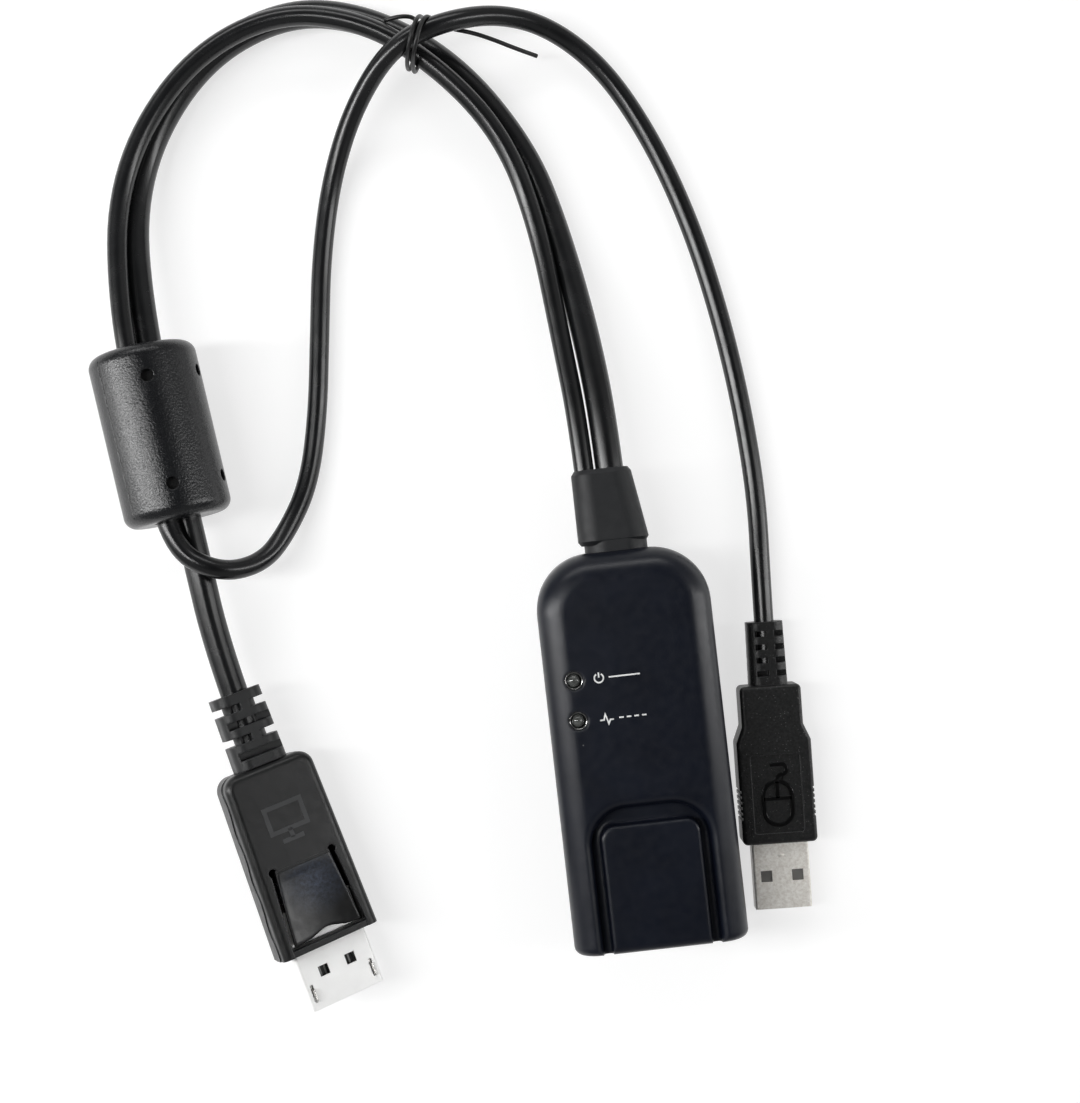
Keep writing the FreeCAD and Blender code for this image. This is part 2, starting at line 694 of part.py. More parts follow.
for number, (x, y) in enumerate(SCREWS, start=1):
    posts.append(rod("post_%d" % number, x, y, s.wall - 0.5, s.post_width,
                     s.board_base - s.wall + 0.5))
    drills.append(rod("drill_%d" % number, x, y, -1, s.screw_width + s.screw_gap,
                      s.board_base + 2))
    drills.append(rod("sink_%d" % number, x, y, -1, s.screw_head + s.screw_gap,
                      1 + s.screw_recess + s.screw_head_depth))
with_posts = fuse("tray_posts", [open_tray] + posts)
housing_base = piece(cut("lower_half", with_posts, drills), "housing_base")

# Four screws: pan heads with a cross recess.
heads = []
shanks = []
slots = []
for number, (x, y) in enumerate(SCREWS, start=1):
    low = s.screw_recess
    heads.append(rod("head_%d" % number, x, y, low, s.screw_head, s.screw_head_depth))
    shanks.append(rod("shank_%d" % number, x, y, low + s.screw_head_depth,
                      s.screw_width, s.screw_length))
    slots.append(block("cross_a_%d" % number, x - 1.2, x + 1.2, y - 0.25, y + 0.25,
                       low - 1, low + 0.9))
    slots.append(block("cross_b_%d" % number, x - 0.25, x + 0.25, y - 1.2, y + 1.2,
                       low - 1, low + 0.9))
screws = cut("screw_set", fuse("screw_stock", heads + shanks), slots)
piece(screws, "housing_screws")

# ------------------------------------------------------------ board and its parts
board = new_body("board")
sketch = new_sketch(board, "XY_Plane", s.board_base)
board_end = s.jack_gap + s.wall - s.jack_end
outline(sketch, [
    (-board_half, board_end), (board_half, board_end),
    (board_half, s.board_nose - s.board_taper), (board_nose_half, s.board_nose),
    (-board_nose_half, s.board_nose), (-board_half, s.board_nose - s.board_taper),
])
pad(board, sketch, s.board_thick)
sketch = new_sketch(board, "XY_Plane", board_top)
for x, y in SCREWS:
    ring(sketch, x, y, s.screw_width + s.screw_gap)
pocket(board, sketch, s.board_thick + 1)
piece(board, "circuit_board")


def chip(name, x, y, side, label):
    """A flat package with a row of gull leads along each side."""
    half = side / 2
    foot = board_top + 0.15
    case = block(name + "_case", x - half, x + half, y - half, y + half,
                 foot, foot + s.chip_thick)
    leads = []
    for i in range(8):
        place = (side - 1.6) / 7 * i - (side - 1.6) / 2
        leads.append(block("%s_lead_x%d" % (name, i), x - half - 0.9, x + half + 0.9,
                           place + y - 0.17, place + y + 0.17, board_top, foot + 0.25))
        leads.append(block("%s_lead_y%d" % (name, i), place + x - 0.17,
                           place + x + 0.17, y - half - 0.9, y + half + 0.9,
                           board_top, foot + 0.25))
    piece(fuse(name, [case] + leads), label)


chip("controller", dim(7.0), dim(-12.0), s.chip_side, "controller_chip")
chip("video", dim(4.0), dim(3.0), s.video_side, "video_chip")
coil = new_body("coil")
coil_start = jack_back + s.shield_thick + 1.2
bar(coil, -s.coil_width / 2 - 6, s.coil_width / 2 - 6, board_top,
    board_top + s.coil_height, 0.6, coil_start, coil_start + s.coil_length)
piece(coil, "line_transformer")
can = new_body("can")
sketch = new_sketch(can, "XY_Plane", board_top)
can_x = board_half - s.crystal_width / 2 - 0.6
can_y = coil_start + s.crystal_length / 2
round_outline(sketch, can_x - s.crystal_width / 2, can_x + s.crystal_width / 2,
              can_y - s.crystal_length / 2, can_y + s.crystal_length / 2,
              s.crystal_width * 0.45)
pad(can, sketch, s.crystal_height)
piece(can, "crystal")
caps = []
for number, (x, y) in enumerate([(11.5, 0.5), (11.5, 7.5)], start=1):
    caps.append(rod("cap_%d" % number, x, y, board_top, s.cap_width, s.cap_height))
cap_pair = fuse("cap_pair", caps)
piece(cap_pair, "capacitors")


def header(name, x, width, label):
    """A shrouded wire connector, open towards the cables."""
    y = s.post_rear - 4
    half = width / 2
    shell = block(name + "_shell", x - half, x + half, y - s.header_depth, y,
                  board_top, board_top + s.header_height)
    mouth = block(name + "_mouth", x - half + 0.8, x + half - 0.8,
                  y - s.header_depth + 1.6, y + 1, board_top + 0.9,
                  board_top + s.header_height - 0.8)
    piece(cut(name, shell, [mouth]), label)


header("head_video", dim(4.5), s.video_header, "video_header")
header("head_bus", dim(-9.6), s.bus_header, "bus_header")

# Two indicator lamps on long leads, each with a flange under the housing deck.
for number, y in enumerate(lamp_y, start=1):
    name = ("power_lamp", "activity_lamp")[number - 1]
    stem = lamp_shoulder - s.lamp_flange
    lens = rod(name + "_barrel", -lamp_offset, y, stem, s.lamp_width, s.lamp_flange)
    rim = rod(name + "_rim", -lamp_offset, y, stem, s.lamp_flange, 1.0)
    ball = doc.addObject("Part::Sphere", name + "_dome")
    bind(ball, "Radius", s.lamp_width / 2)
    settle(ball, -lamp_offset, y, lamp_shoulder)
    piece(fuse(name + "_lens", [lens, rim, ball]), name)
leads = []
for number, y in enumerate(lamp_y, start=1):
    for side in (-1, 1):
        place = y + s.lead_pitch / 2 * side
        leads.append(block("lead_%d_%d" % (number, side + 1),
                           -lamp_offset - s.lead_size / 2,
                           s.lead_size / 2 - lamp_offset,
                           place - s.lead_size / 2, place + s.lead_size / 2,
                           board_top, lamp_shoulder - s.lamp_flange))
piece(fuse("lead_set", leads), "lamp_leads")

# ------------------------------------------------------------------ network socket
front = -s.jack_end
core = block("jack_core", -s.jack_half, s.jack_half, front, jack_back,
             board_top, jack_top)
port_low = board_top + s.port_floor
port_top = port_low + s.port_height
port = block("port", -s.port_half, s.port_half, front - 1, front + s.port_depth,
             port_low, port_top)
latch = block("latch_slot", -s.latch_half, s.latch_half, front - 1,
              front + s.port_depth, port_top - 1, port_top + s.latch_height)
notch = block("latch_step", -s.latch_half * 0.62, s.latch_half * 0.62, front - 1,
              front + s.port_depth * 0.6, port_top, port_top + s.latch_height + 0.9)
piece(cut("jack", core, [port, latch, notch]), "jack_body")
sheet_side = s.jack_half + s.shield_thick
skin = block("shield_skin", -sheet_side, sheet_side, front - s.shield_lip,
             jack_back + s.shield_thick, board_top, jack_top + s.shield_thick)
bore = block("shield_bore", -s.jack_half, s.jack_half, front - s.shield_lip - 1,
             jack_back, board_top - 1, jack_top)
gate = block("shield_gate", -s.latch_half * 1.2, s.latch_half * 1.2,
             front - s.shield_lip - 1, front + 0.4, board_top + 1,
             jack_top + s.shield_thick + 1)
piece(cut("shield", skin, [bore, gate]), "jack_shield")


def bent_run(points):
    """A path of straight runs joined by tangent arcs, and the arc radii."""
    points = [V(*p) for p in points]
    edges = []
    radii = []
    start = points[0]
    for i in range(1, len(points) - 1):
        back = points[i - 1] - points[i]
        ahead = points[i + 1] - points[i]
        short = min(back.Length, ahead.Length)
        back.normalize()
        ahead.normalize()
        turn = math.pi - back.getAngle(ahead)
        reach = 0.45 * short
        radius = reach / math.tan(turn / 2)
        radii.append(radius)
        middle = (back + ahead).normalize()
        hub = points[i] + middle * (radius / math.cos(turn / 2))
        first = points[i] + back * reach
        last = points[i] + ahead * reach
        edges.append(Part.LineSegment(start, first).toShape())
        edges.append(Part.Arc(first, hub - middle * radius, last).toShape())
        start = last
    edges.append(Part.LineSegment(start, points[-1]).toShape())
    return Part.Wire(edges), radii


def tube(points, diameter):
    """A round section swept along a bent run."""
    path, radii = bent_run(points)
    heading = V(*points[1]) - V(*points[0])
    circle = Part.makeCircle(diameter / 2, V(*points[0]), heading)
    solid = path.makePipe(Part.Face(Part.Wire([circle])))
    return solid, path.Length, radii


def cord(name, points, diameter):
    """A cord as one plain solid, checked against its section times its length."""
    solid, length, radii = tube(points, diameter)
    expected = math.pi * diameter ** 2 / 4 * length
    if abs(solid.Volume / expected - 1) > 0.005:
        raise ValueError(name + ": the swept volume is off")
    print("%s: length %.1f mm, radii %s" % (
        name, length, " ".join("%.0f" % radius for radius in radii)))
    thing = doc.addObject("Part::Feature", name + "_run")
    thing.Shape = solid
    return piece(thing, name)


# Each contact is a strip with a flat foot and a sprung end that leans up to the plug.
pins = []
wire = s.pin_wire.value
foot = port_low.value
for number in range(8):
    x = (number - 3.5) * s.pin_pitch.value - wire / 2
    y = front.value
    back = y + s.port_depth.value
    strip = [(back, foot), (y + 1.75, foot), (y + 9.4, foot + 3.66),
             (y + 9.55, foot + 3.3), (y + 3.5, foot + wire), (back, foot + wire)]
    corners = [V(x, y_corner, z_corner) for y_corner, z_corner in strip]
    side = Part.Face(Part.makePolygon(corners + corners[:1]))
    pins.append(side.extrude(V(wire, 0, 0)))
contacts = doc.addObject("Part::Feature", "pins")
contacts.Shape = Part.makeCompound(pins)
piece(contacts, "jack_contacts")

# ------------------------------------------------------------------------- the boot
boot = new_body("boot")


def boot_section(share, inset):
    """Cross-section of the boot, a share of the way from its wide to its narrow end."""
    place = s.boot_start + (s.boot_end - s.boot_start) * share
    if inset and share > 0.5:
        place = s.boot_end
    elif share > 0.5:
        place = s.boot_end - s.boot_edge
    elif not inset:
        place = s.boot_start + s.boot_edge
    trim = s.boot_edge * (0.7 if inset else 0)
    lean = s.boot_lean * (1 - share) + s.boot_lean_end * share
    half = s.boot_wide_half * (1 - share) + s.boot_narrow_half * share - trim
    tall = s.boot_wide_height * (1 - share) + s.boot_narrow_height * share
    sketch = new_sketch(boot, "XZ_Plane", -place)
    round_outline(sketch, -lean - half, half - lean,
                  s.exit_height - tall / 2 + trim, s.exit_height + tall / 2 - trim,
                  s.boot_round - trim)
    return sketch


sections = [boot_section(share, inset)
            for share, inset in ((0, True), (0, False), (1, False), (1, True))]
body = boot.newObject("PartDesign::AdditiveLoft", "boot_loft")
body.Profile = sections[0]
body.Sections = sections[1:]
body.Ruled = True
bar(boot, -s.neck_half, s.neck_half, s.exit_height - s.neck_height / 2,
    s.exit_height + s.neck_height / 2, s.neck_round, inner - 0.2, s.boot_start + 1)
bar(boot, -collar, collar, s.exit_height - rise, s.exit_height + rise,
    s.neck_round + s.flange_lip, inner - s.flange_thick, inner - s.cable_fit)
sketch = new_sketch(boot, "XZ_Plane", -(s.boot_end + 2))
ring(sketch, s.video_exit, s.exit_height, s.video_cable)
ring(sketch, -s.bus_exit, s.exit_height, s.bus_cable)
pocket(boot, sketch, s.boot_end - inner + 20, back=True)
piece(boot, "cable_boot")

# ------------------------------------------------------------------------ the cords
# Points of each cord in millimetres. They lie on the ground, go up to the boot, and
# the bus cable crosses over the video cable twice.
VIDEO_RUN = [
    (0.6, 36.0, 11.0), (0.6, 57.5, 11.0), (-1.1, 79.6, 6.8), (-4.6, 101.6, 3.0),
    (-9.4, 119.4, 3.0), (-22.0, 138.7, 4.1), (-39.3, 151.1, 4.1),
    (-57.6, 155.0, 3.0), (-78.2, 145.6, 3.0), (-93.2, 122.4, 4.8),
    (-94.0, 92.0, 9.5), (-88.0, 43.3, 9.5), (-85.4, 19.9, 8.8), (-80.5, 0.5, 8.7),
]
BUS_RUN = [
    (-4.7, 36.0, 11.0), (-4.7, 57.5, 11.0), (-6.5, 79.0, 7.9), (-8.5, 102.0, 6.4),
    (-13.2, 120.7, 7.8), (-23.6, 135.6, 9.1), (-39.2, 148.8, 9.4),
    (-59.4, 153.4, 8.6), (-80.2, 143.8, 8.4), (-95.5, 121.2, 10.2),
    (-97.4, 91.3, 13.6), (-94.1, 66.6, 13.5), (-91.9, 43.6, 14.9),
    (-82.5, 37.0, 14.9), (-74.1, 38.1, 9.0), (-68.8, 44.4, 4.4), (-63.4, 54.0, 2.3),
    (-59.9, 68.4, 2.15), (-57.6, 85.0, 2.15), (-55.2, 102.5, 2.15),
    (-50.9, 119.0, 3.0), (-44.0, 132.4, 7.4), (-34.4, 141.9, 14.1),
    (-23.6, 145.6, 14.1), (-12.0, 147.6, 8.8), (-1.2, 144.6, 5.0),
    (9.4, 135.0, 2.8), (18.0, 118.6, 2.15), (24.2, 99.6, 2.15), (28.2, 79.6, 2.15),
    (30.6, 59.6, 2.15), (31.5, 40.0, 2.4), (30.2, 22.0, 4.0), (29.4, 5.0, 4.0),
]
video_cable = cord("video_cable", VIDEO_RUN, s.video_cable.value)
bus_cable = cord("bus_cable", BUS_RUN, s.bus_cable.value)

# ------------------------------------------------------------------ the video plug
# Built along its own axis: origin at the centre of the front face, +Y to the cable.
LIE = FreeCAD.Rotation(V(0, 0, 1), s.video_plug_turn.value)
ROLL = FreeCAD.Rotation(V(0, 1, 0), s.video_plug_roll.value)
VIDEO_SPOT = FreeCAD.Placement(V(-69.9, -42.2, s.video_plug_lift.value),
                               LIE.multiply(ROLL))
half_thick = s.vp_thick / 2


def plug_plan(sketch, grow):
    """Plan of the plug: square front, slight taper, round corners at the back."""
    front_half = s.vp_half + grow
    back_half = s.vp_back_half + grow
    shoulder = s.vp_length - s.vp_corner
    outline(sketch, [
        (-front_half, 0), (front_half, 0),
        (back_half, shoulder, s.vp_corner), (back_half - s.vp_corner, s.vp_length),
        (s.vp_corner - back_half, s.vp_length, s.vp_corner), (-back_half, shoulder),
    ])


def plug_form(name):
    body = new_body(name)
    sketch = new_sketch(body, "XY_Plane", -half_thick)
    plug_plan(sketch, 0)
    pad(body, sketch, s.vp_thick)
    edge = half_thick.value
    soften(body, s.vp_edge, lambda b: near(abs(b.ZMin), edge)
           and near(b.ZMin, b.ZMax) and b.YMax > 0.1)
    return body


def wavy_prism(name):
    """The layer between the wavy parting lines, through the whole plug."""
    body = new_body(name)
    sketch = new_sketch(body, "YZ_Plane", 0)
    count = 8
    chord = (s.vp_length + 2) / count
    radius = (chord * chord / 4 + s.vp_wave * s.vp_wave) / (s.vp_wave * 2)
    rise = s.vp_band / 2
    corners = []
    for i in range(count):
        corners.append((chord * i - 1, -rise, radius if i % 2 else -radius))
    corners.append((chord * count - 1, -rise))
    for i in range(count):
        y = chord * (count - i) - 1
        corners.append((y, rise, radius if i % 2 else -radius))
    corners.append((dim(-1), rise))
    outline(sketch, corners)
    pad(body, sketch, s.vp_half * 3, both=True)
    return body


def plug_cavity(name):
    side = s.vp_back_half - s.vp_wall
    room = half_thick - s.vp_cover
    box = block(name + "_room", -side, side, s.vp_wall, s.vp_length - s.vp_wall * 2,
                -room, room)
    mouth = block(name + "_mouth", -s.vs_half, s.vs_half, -1, s.vp_wall + 1,
                  -s.vs_height / 2, s.vs_height / 2)
    return [box, mouth]


window_front = s.button_front - s.button_slot * 0.9
window = new_body("tongue_window")
sketch = new_sketch(window, "XY_Plane", half_thick - s.vp_cover - 0.2)
reach = s.button_half + s.button_slot
start = s.button_root_half + s.button_slot
outline(sketch, [
    (-reach, window_front), (reach, window_front),
    (start, s.button_root), (-start, s.button_root),
])
pad(window, sketch, s.vp_cover + 1)
eyes = []
for side in (-1, 1):
    x = (s.button_root_half + s.button_slot / 2) * side
    eyes.append(rod("slot_eye_%d" % (side + 1), x, s.button_root,
                    half_thick - s.vp_cover - 0.2, s.button_eye, s.vp_cover + 1))
rim = block("front_rim", -reach, reach, -1, window_front + 0.1,
            half_thick - s.button_sink, half_thick + 1)
wide = s.vp_half * 2
sky = block("above", -wide, wide, -1, s.vp_length + 1, 0, s.vp_thick)
ground = block("below", -wide, wide, -1, s.vp_length + 1, -s.vp_thick, 0)
upper_plug = common("plug_upper", [plug_form("plug_form_top"), sky])
cover = cut("plug_top", upper_plug, [wavy_prism("wave_top"), window, rim]
            + eyes + plug_cavity("cavity_top"))
piece(cover, "video_plug_top", VIDEO_SPOT)
lower_plug = common("plug_lower", [plug_form("plug_form_low"), ground])
cover = cut("plug_bottom", lower_plug, [wavy_prism("wave_low")]
            + plug_cavity("cavity_low"))
piece(cover, "video_plug_bottom", VIDEO_SPOT)
band = new_body("band_form")
sketch = new_sketch(band, "XY_Plane", -half_thick / 2)
plug_plan(sketch, s.vp_band_proud)
pad(band, sketch, half_thick)
layer = common("plug_layer", [band, wavy_prism("wave_mid")])
piece(cut("plug_frame", layer, plug_cavity("cavity_mid")), "video_plug_frame",
      VIDEO_SPOT)

# Release tongue: widens to a wavy free end, with two studs over the latch spring.
tongue = new_body("tongue")
sketch = new_sketch(tongue, "XY_Plane", half_thick - s.vp_cover)
third = s.button_half / 3
swell = s.button_half * 0.9
outline(sketch, [
    (-s.button_half, s.button_front, -swell), (-third, s.button_front, swell),
    (third, s.button_front, -swell), (s.button_half, s.button_front),
    (s.button_root_half, s.button_root - s.button_gap),
    (-s.button_root_half, s.button_root - s.button_gap),
])
pad(tongue, sketch, s.vp_cover)
arm_top = s.vs_height / 2 - s.vs_sheet - 0.4
studs = []
for side in (-1, 1):
    x = (s.button_root_half - 0.7) * side
    studs.append(block("stud_%d" % (side + 1), x - 0.6, x + 0.6,
                       s.push_place - 0.6, s.push_place + 0.6,
                       arm_top + s.push_gap, half_thick - s.vp_cover + 0.2))
piece(fuse("tongue_set", [tongue] + studs), "video_release_button", VIDEO_SPOT)

# Latch spring: two arms joined by a bridge, with hooks that rise through the shell.
arm_half = s.tongue_half + 0.15
arm_low = arm_top - 1.0
parts = [block("spring_bridge", -arm_half, arm_half, s.latch_root - 0.5,
               s.latch_root + 0.5, arm_low, arm_top)]
for side in (-1, 1):
    inner = arm_half if side > 0 else -arm_half - s.spring_sheet
    outer = inner + s.spring_sheet
    parts.append(block("spring_arm_%d" % (side + 1), inner, outer, -s.hook_tip,
                       s.latch_root + 0.5, arm_low, arm_top))
    parts.append(block("spring_pad_%d" % (side + 1), arm_half - 1.4 if side > 0
                       else -arm_half - 0.05, arm_half + 0.05 if side > 0
                       else 1.4 - arm_half, s.push_place - 0.8, s.push_place + 0.8,
                       arm_top - s.spring_sheet, arm_top))
    hook = doc.addObject("Part::Wedge", "spring_hook_%d" % (side + 1))
    bind(hook, "Xmin", 0)
    bind(hook, "Xmax", s.spring_sheet)
    bind(hook, "X2min", 0)
    bind(hook, "X2max", s.spring_sheet)
    bind(hook, "Ymin", 0)
    bind(hook, "Ymax", s.hook_length)
    bind(hook, "Zmin", 0)
    bind(hook, "Zmax", s.hook_rise + s.vs_sheet + 0.5)
    bind(hook, "Z2min", 0)
    bind(hook, "Z2max", s.hook_rise + s.vs_sheet + 0.5)
    settle(hook, inner, -s.hook_tip, arm_top - 0.1)
    parts.append(hook)
piece(fuse("spring", parts), "video_latch_spring", VIDEO_SPOT)


def shell_tube(name, side, height, sheet_size, root, tip, slant):
    """A folded sheet tube around the plug axis, one lower corner bevelled."""
    body = new_body(name)
    for inset, first in ((dim(0), True), (sheet_size, False)):
        x = side - inset
        z = height / 2 - inset
        sketch = new_sketch(body, "XZ_Plane", tip if first else tip + 1)
        trim = slant if first else slant - inset * 0.4
        outline(sketch, [
            (trim - x, -z), (x - 0.5, -z, 0.5), (x, 0.5 - z),
            (x, z - 0.5, 0.5), (x - 0.5, z), (0.5 - x, z, 0.5), (-x, z - 0.5),
            (-x, trim - z),
        ])
        if first:
            pad(body, sketch, root + tip, back=True)
        else:
            pocket(body, sketch, root + tip + 2)
    return body


shell = shell_tube("video_tube", s.vs_half, s.vs_height, s.vs_sheet, s.vs_root,
                   s.vs_reach, s.vs_slant)
sketch = new_sketch(shell, "XY_Plane", s.vs_height)
for side in (-1, 1):
    x = s.vs_window_side * side
    w = s.vs_window / 2
    outline(sketch, [(x - w, -s.vs_window_place - w), (x + w, -s.vs_window_place - w),
                     (x + w, w - s.vs_window_place), (x - w, w - s.vs_window_place)])
    x = s.vs_slit_side * side
    w = s.vs_slit_width / 2
    y = s.vs_slit_length / 2
    outline(sketch, [(x - w, -s.vs_slit_place - y), (x + w, -s.vs_slit_place - y),
                     (x + w, y - s.vs_slit_place), (x - w, y - s.vs_slit_place)])
pocket(shell, sketch, s.vs_height)
piece(shell, "video_shell", VIDEO_SPOT)

inner_height = s.vs_height / 2 - s.vs_sheet
base = block("video_base", -s.tongue_half, s.tongue_half, -0.6, s.vs_root,
             -inner_height, inner_height - 0.05)
shelf = block("video_shelf", -s.tongue_half, s.tongue_half, s.vs_root - 0.1,
              s.latch_root + 1, -inner_height, arm_low - 0.15)
plate = block("video_plate", -s.tongue_half, s.tongue_half, -s.tongue_reach, 0,
              -s.tongue_thick / 2, s.tongue_thick / 2)
piece(fuse("video_core", [base, shelf, plate]), "video_insulator", VIDEO_SPOT)
blades = []
for number in range(10):
    for side in (-1, 1):
        x = (number - 4.5 + 0.25 * side) * s.blade_pitch
        z0 = s.tongue_thick / 2 if side > 0 else -s.tongue_thick / 2 - s.blade_thick
        blades.append(block("blade_%d_%d" % (number, side + 1),
                            x - s.blade_width / 2, x + s.blade_width / 2,
                            0.4 - s.tongue_reach, -0.6, z0, z0 + s.blade_thick))
piece(fuse("blade_set", blades), "video_contacts", VIDEO_SPOT)


# ------------------------------------------------------------- the strain reliefs
def relief(name, start, length, half, height, rounding, flare):
    """A moulded sleeve that narrows a little towards the cable."""
    body = new_body(name)
    first = new_sketch(body, "XZ_Plane", -start)
    round_outline(first, -half - flare, half + flare, -height / 2, height / 2, rounding)
    last = new_sketch(body, "XZ_Plane", -(start + length))
    round_outline(last, flare - half, half - flare, -height / 2, height / 2, rounding)
    loft = body.newObject("PartDesign::AdditiveLoft", name + "_loft")
    loft.Profile = first
    loft.Sections = [last]
    loft.Ruled = True
    return body


sleeve = relief("video_sleeve", s.vp_length, s.vr_length, s.vr_half, s.vr_height,
                s.vr_round, dim(0.15))
tip = s.vp_length + s.vr_length
tools = [rod("video_sleeve_bore", 0, tip - s.vr_bore, 0, s.video_cable + s.cable_fit * 2,
             s.vr_bore + 1, "y")]
core_half = s.video_cable / 2 + s.cable_fit + s.vr_sleeve
for level_number in range(4):
    middle = tip - s.vr_pitch * (level_number + 0.9)
    low, high = middle - s.vr_slot / 2, middle + s.vr_slot / 2
    # The underside repeats the top turned half round, so each level has both sides.
    for side in (-1, 1):
        tag = "%d_%d" % (level_number, side + 1)
        floor = (s.video_cable / 2 - 0.7) * side
        z0, z1 = (floor, s.vr_height) if side > 0 else (-s.vr_height, floor)
        if level_number % 2 == 0:
            left, right = -core_half, -s.vr_spine * 0.3
        else:
            left, right = s.vr_rim - s.vr_half, s.vr_half * 2
        x0, x1 = (left, right) if side > 0 else (-right, -left)
        tools.append(block("window_" + tag, x0, x1, low, high, z0, z1))
    if level_number % 2 == 0:
        tag = "%d" % level_number
        gap = block("gap_" + tag, -s.vr_half * 2, s.vr_half * 2, low, high,
                    -s.vr_height, s.vr_height)
        keep = [rod("gap_core_" + tag, 0, low - 1, 0, core_half * 2, s.vr_slot + 2, "y"),
                block("spine_top_" + tag, -s.vr_spine * 0.3, s.vr_spine * 0.7,
                      low - 1, high + 1, 0, s.vr_height + 1),
                block("spine_low_" + tag, -s.vr_spine * 0.7, s.vr_spine * 0.3,
                      low - 1, high + 1, -s.vr_height - 1, 0)]
        tools.append(cut("gap_ring_" + tag, gap, keep))
piece(cut("video_relief", sleeve, tools), "video_strain_relief", VIDEO_SPOT)

# -------------------------------------------------------------------- the bus plug
BUS_SPOT = FreeCAD.Placement(
    V(27.7, -33.0, s.up_thick.value / 2),
    FreeCAD.Rotation(V(0, 0, 1), s.bus_plug_turn.value))
grip = new_body("bus_grip")
half_bus = s.up_thick / 2
sketch = new_sketch(grip, "XY_Plane", -half_bus)
neck_start = s.up_length - s.up_neck
wide_end = neck_start - s.up_shoulder
outline(sketch, [
    (-s.up_half, 0), (s.up_half, 0), (s.up_half, wide_end),
    (s.up_neck_half, neck_start), (s.up_neck_half, s.up_length),
    (-s.up_neck_half, s.up_length), (-s.up_neck_half, neck_start),
    (-s.up_half, wide_end),
])
pad(grip, sketch, s.up_thick)
soften(grip, s.up_round, lambda b: b.ZMax - b.ZMin > s.up_thick.value - 0.1)
soften(grip, s.up_round * 0.8, lambda b: near(b.ZMin, b.ZMax))
for face in (1, -1):
    sketch = new_sketch(grip, "XY_Plane", half_bus * face)
    round_outline(sketch, -s.up_panel_half, s.up_panel_half, s.up_panel_place,
                  s.up_panel_place + s.up_panel_length, 0.6)
    pocket(grip, sketch, s.up_panel_depth, back=face < 0)
sketch = new_sketch(grip, "XY_Plane", half_bus + 1)
for number in range(6):
    y = s.up_rib_place + s.up_rib_pitch * (number - 2.5)
    for side in (-1, 1):
        x0 = (s.up_half - s.up_rib_depth) * side
        x1 = (s.up_half + 1) * side
        if side < 0:
            x0, x1 = x1, x0
        outline(sketch, [
            (x0, y - s.up_rib_pitch * 0.25), (x1, y - s.up_rib_pitch * 0.25),
            (x1, y + s.up_rib_pitch * 0.25), (x0, y + s.up_rib_pitch * 0.25),
        ])
pocket(grip, sketch, s.up_thick + 2)
bus_sleeve = relief("bus_sleeve", s.up_length, s.ur_length, s.ur_half, s.ur_height,
                    s.ur_round, dim(0.1))
tip = s.up_length + s.ur_length
tools = [rod("bus_sleeve_bore", 0, tip - s.ur_bore, 0, s.bus_cable + s.cable_fit * 2,
             s.ur_bore + 1, "y")]
for level_number in range(4):
    middle = tip - s.ur_pitch * (level_number + 0.9)
    low, high = middle - s.ur_slot / 2, middle + s.ur_slot / 2
    for side in (-1, 1):
        tag = "%d_%d" % (level_number, side + 1)
        places = ((-s.ur_half * 0.6, dim(0.1), 1.3), (s.ur_half * 0.42, s.ur_half * 2, 0.8))
        for which, (left, right, floor) in enumerate(places):
            x0, x1 = (left, right) if side > 0 else (-right, -left)
            z0, z1 = (dim(floor), s.ur_height) if side > 0 else (-s.ur_height, dim(-floor))
            tools.append(block("bus_window_%s_%d" % (tag, which), x0, x1, low, high, z0, z1))
bus_relief = cut("bus_relief", bus_sleeve, tools)
root_room = block("bus_shell_room", -s.us_half, s.us_half, -1, s.us_root,
                  -s.us_height / 2, s.us_height / 2)
grip_open = cut("grip_open", grip, [root_room])
piece(fuse("bus_plug", [grip_open, bus_relief]), "bus_plug_body", BUS_SPOT)

shell = shell_tube("bus_tube", s.us_half, s.us_height, s.us_sheet, s.us_root,
                   s.us_reach, dim(0.5))
for face in (1, -1):
    sketch = new_sketch(shell, "XY_Plane", s.us_height * face)
    for side in (-1, 1):
        x = s.us_window_side * side
        w = s.us_window / 2
        y = -s.us_window_place
        outline(sketch, [(x - w, y - w), (x + w, y - w), (x + w, y + w), (x - w, y + w)])
    pocket(shell, sketch, s.us_height, back=face < 0)
piece(shell, "bus_shell", BUS_SPOT)
side_in = s.us_half - s.us_sheet
low_in = s.us_sheet - s.us_height / 2
base = block("bus_base", 0.5 - side_in, side_in - 0.5, -0.5, s.us_root,
             low_in, -low_in - 0.05)
tongue_low = -low_in - s.us_tongue
plate = block("bus_plate", 0.25 - side_in, side_in - 0.25, 0.6 - s.us_reach, 0,
              tongue_low, -low_in - 0.05)
piece(fuse("bus_core", [base, plate]), "bus_insulator", BUS_SPOT)
blades = []
for number, x in enumerate((-s.us_blade_outer, -s.us_blade_inner,
                            s.us_blade_inner, s.us_blade_outer)):
    blades.append(block("bus_blade_%d" % number, x - s.us_blade_width / 2,
                        x + s.us_blade_width / 2, 1.6 - s.us_reach, -0.5,
                        tongue_low - s.blade_thick, tongue_low))
piece(fuse("bus_blades", blades), "bus_contacts", BUS_SPOT)

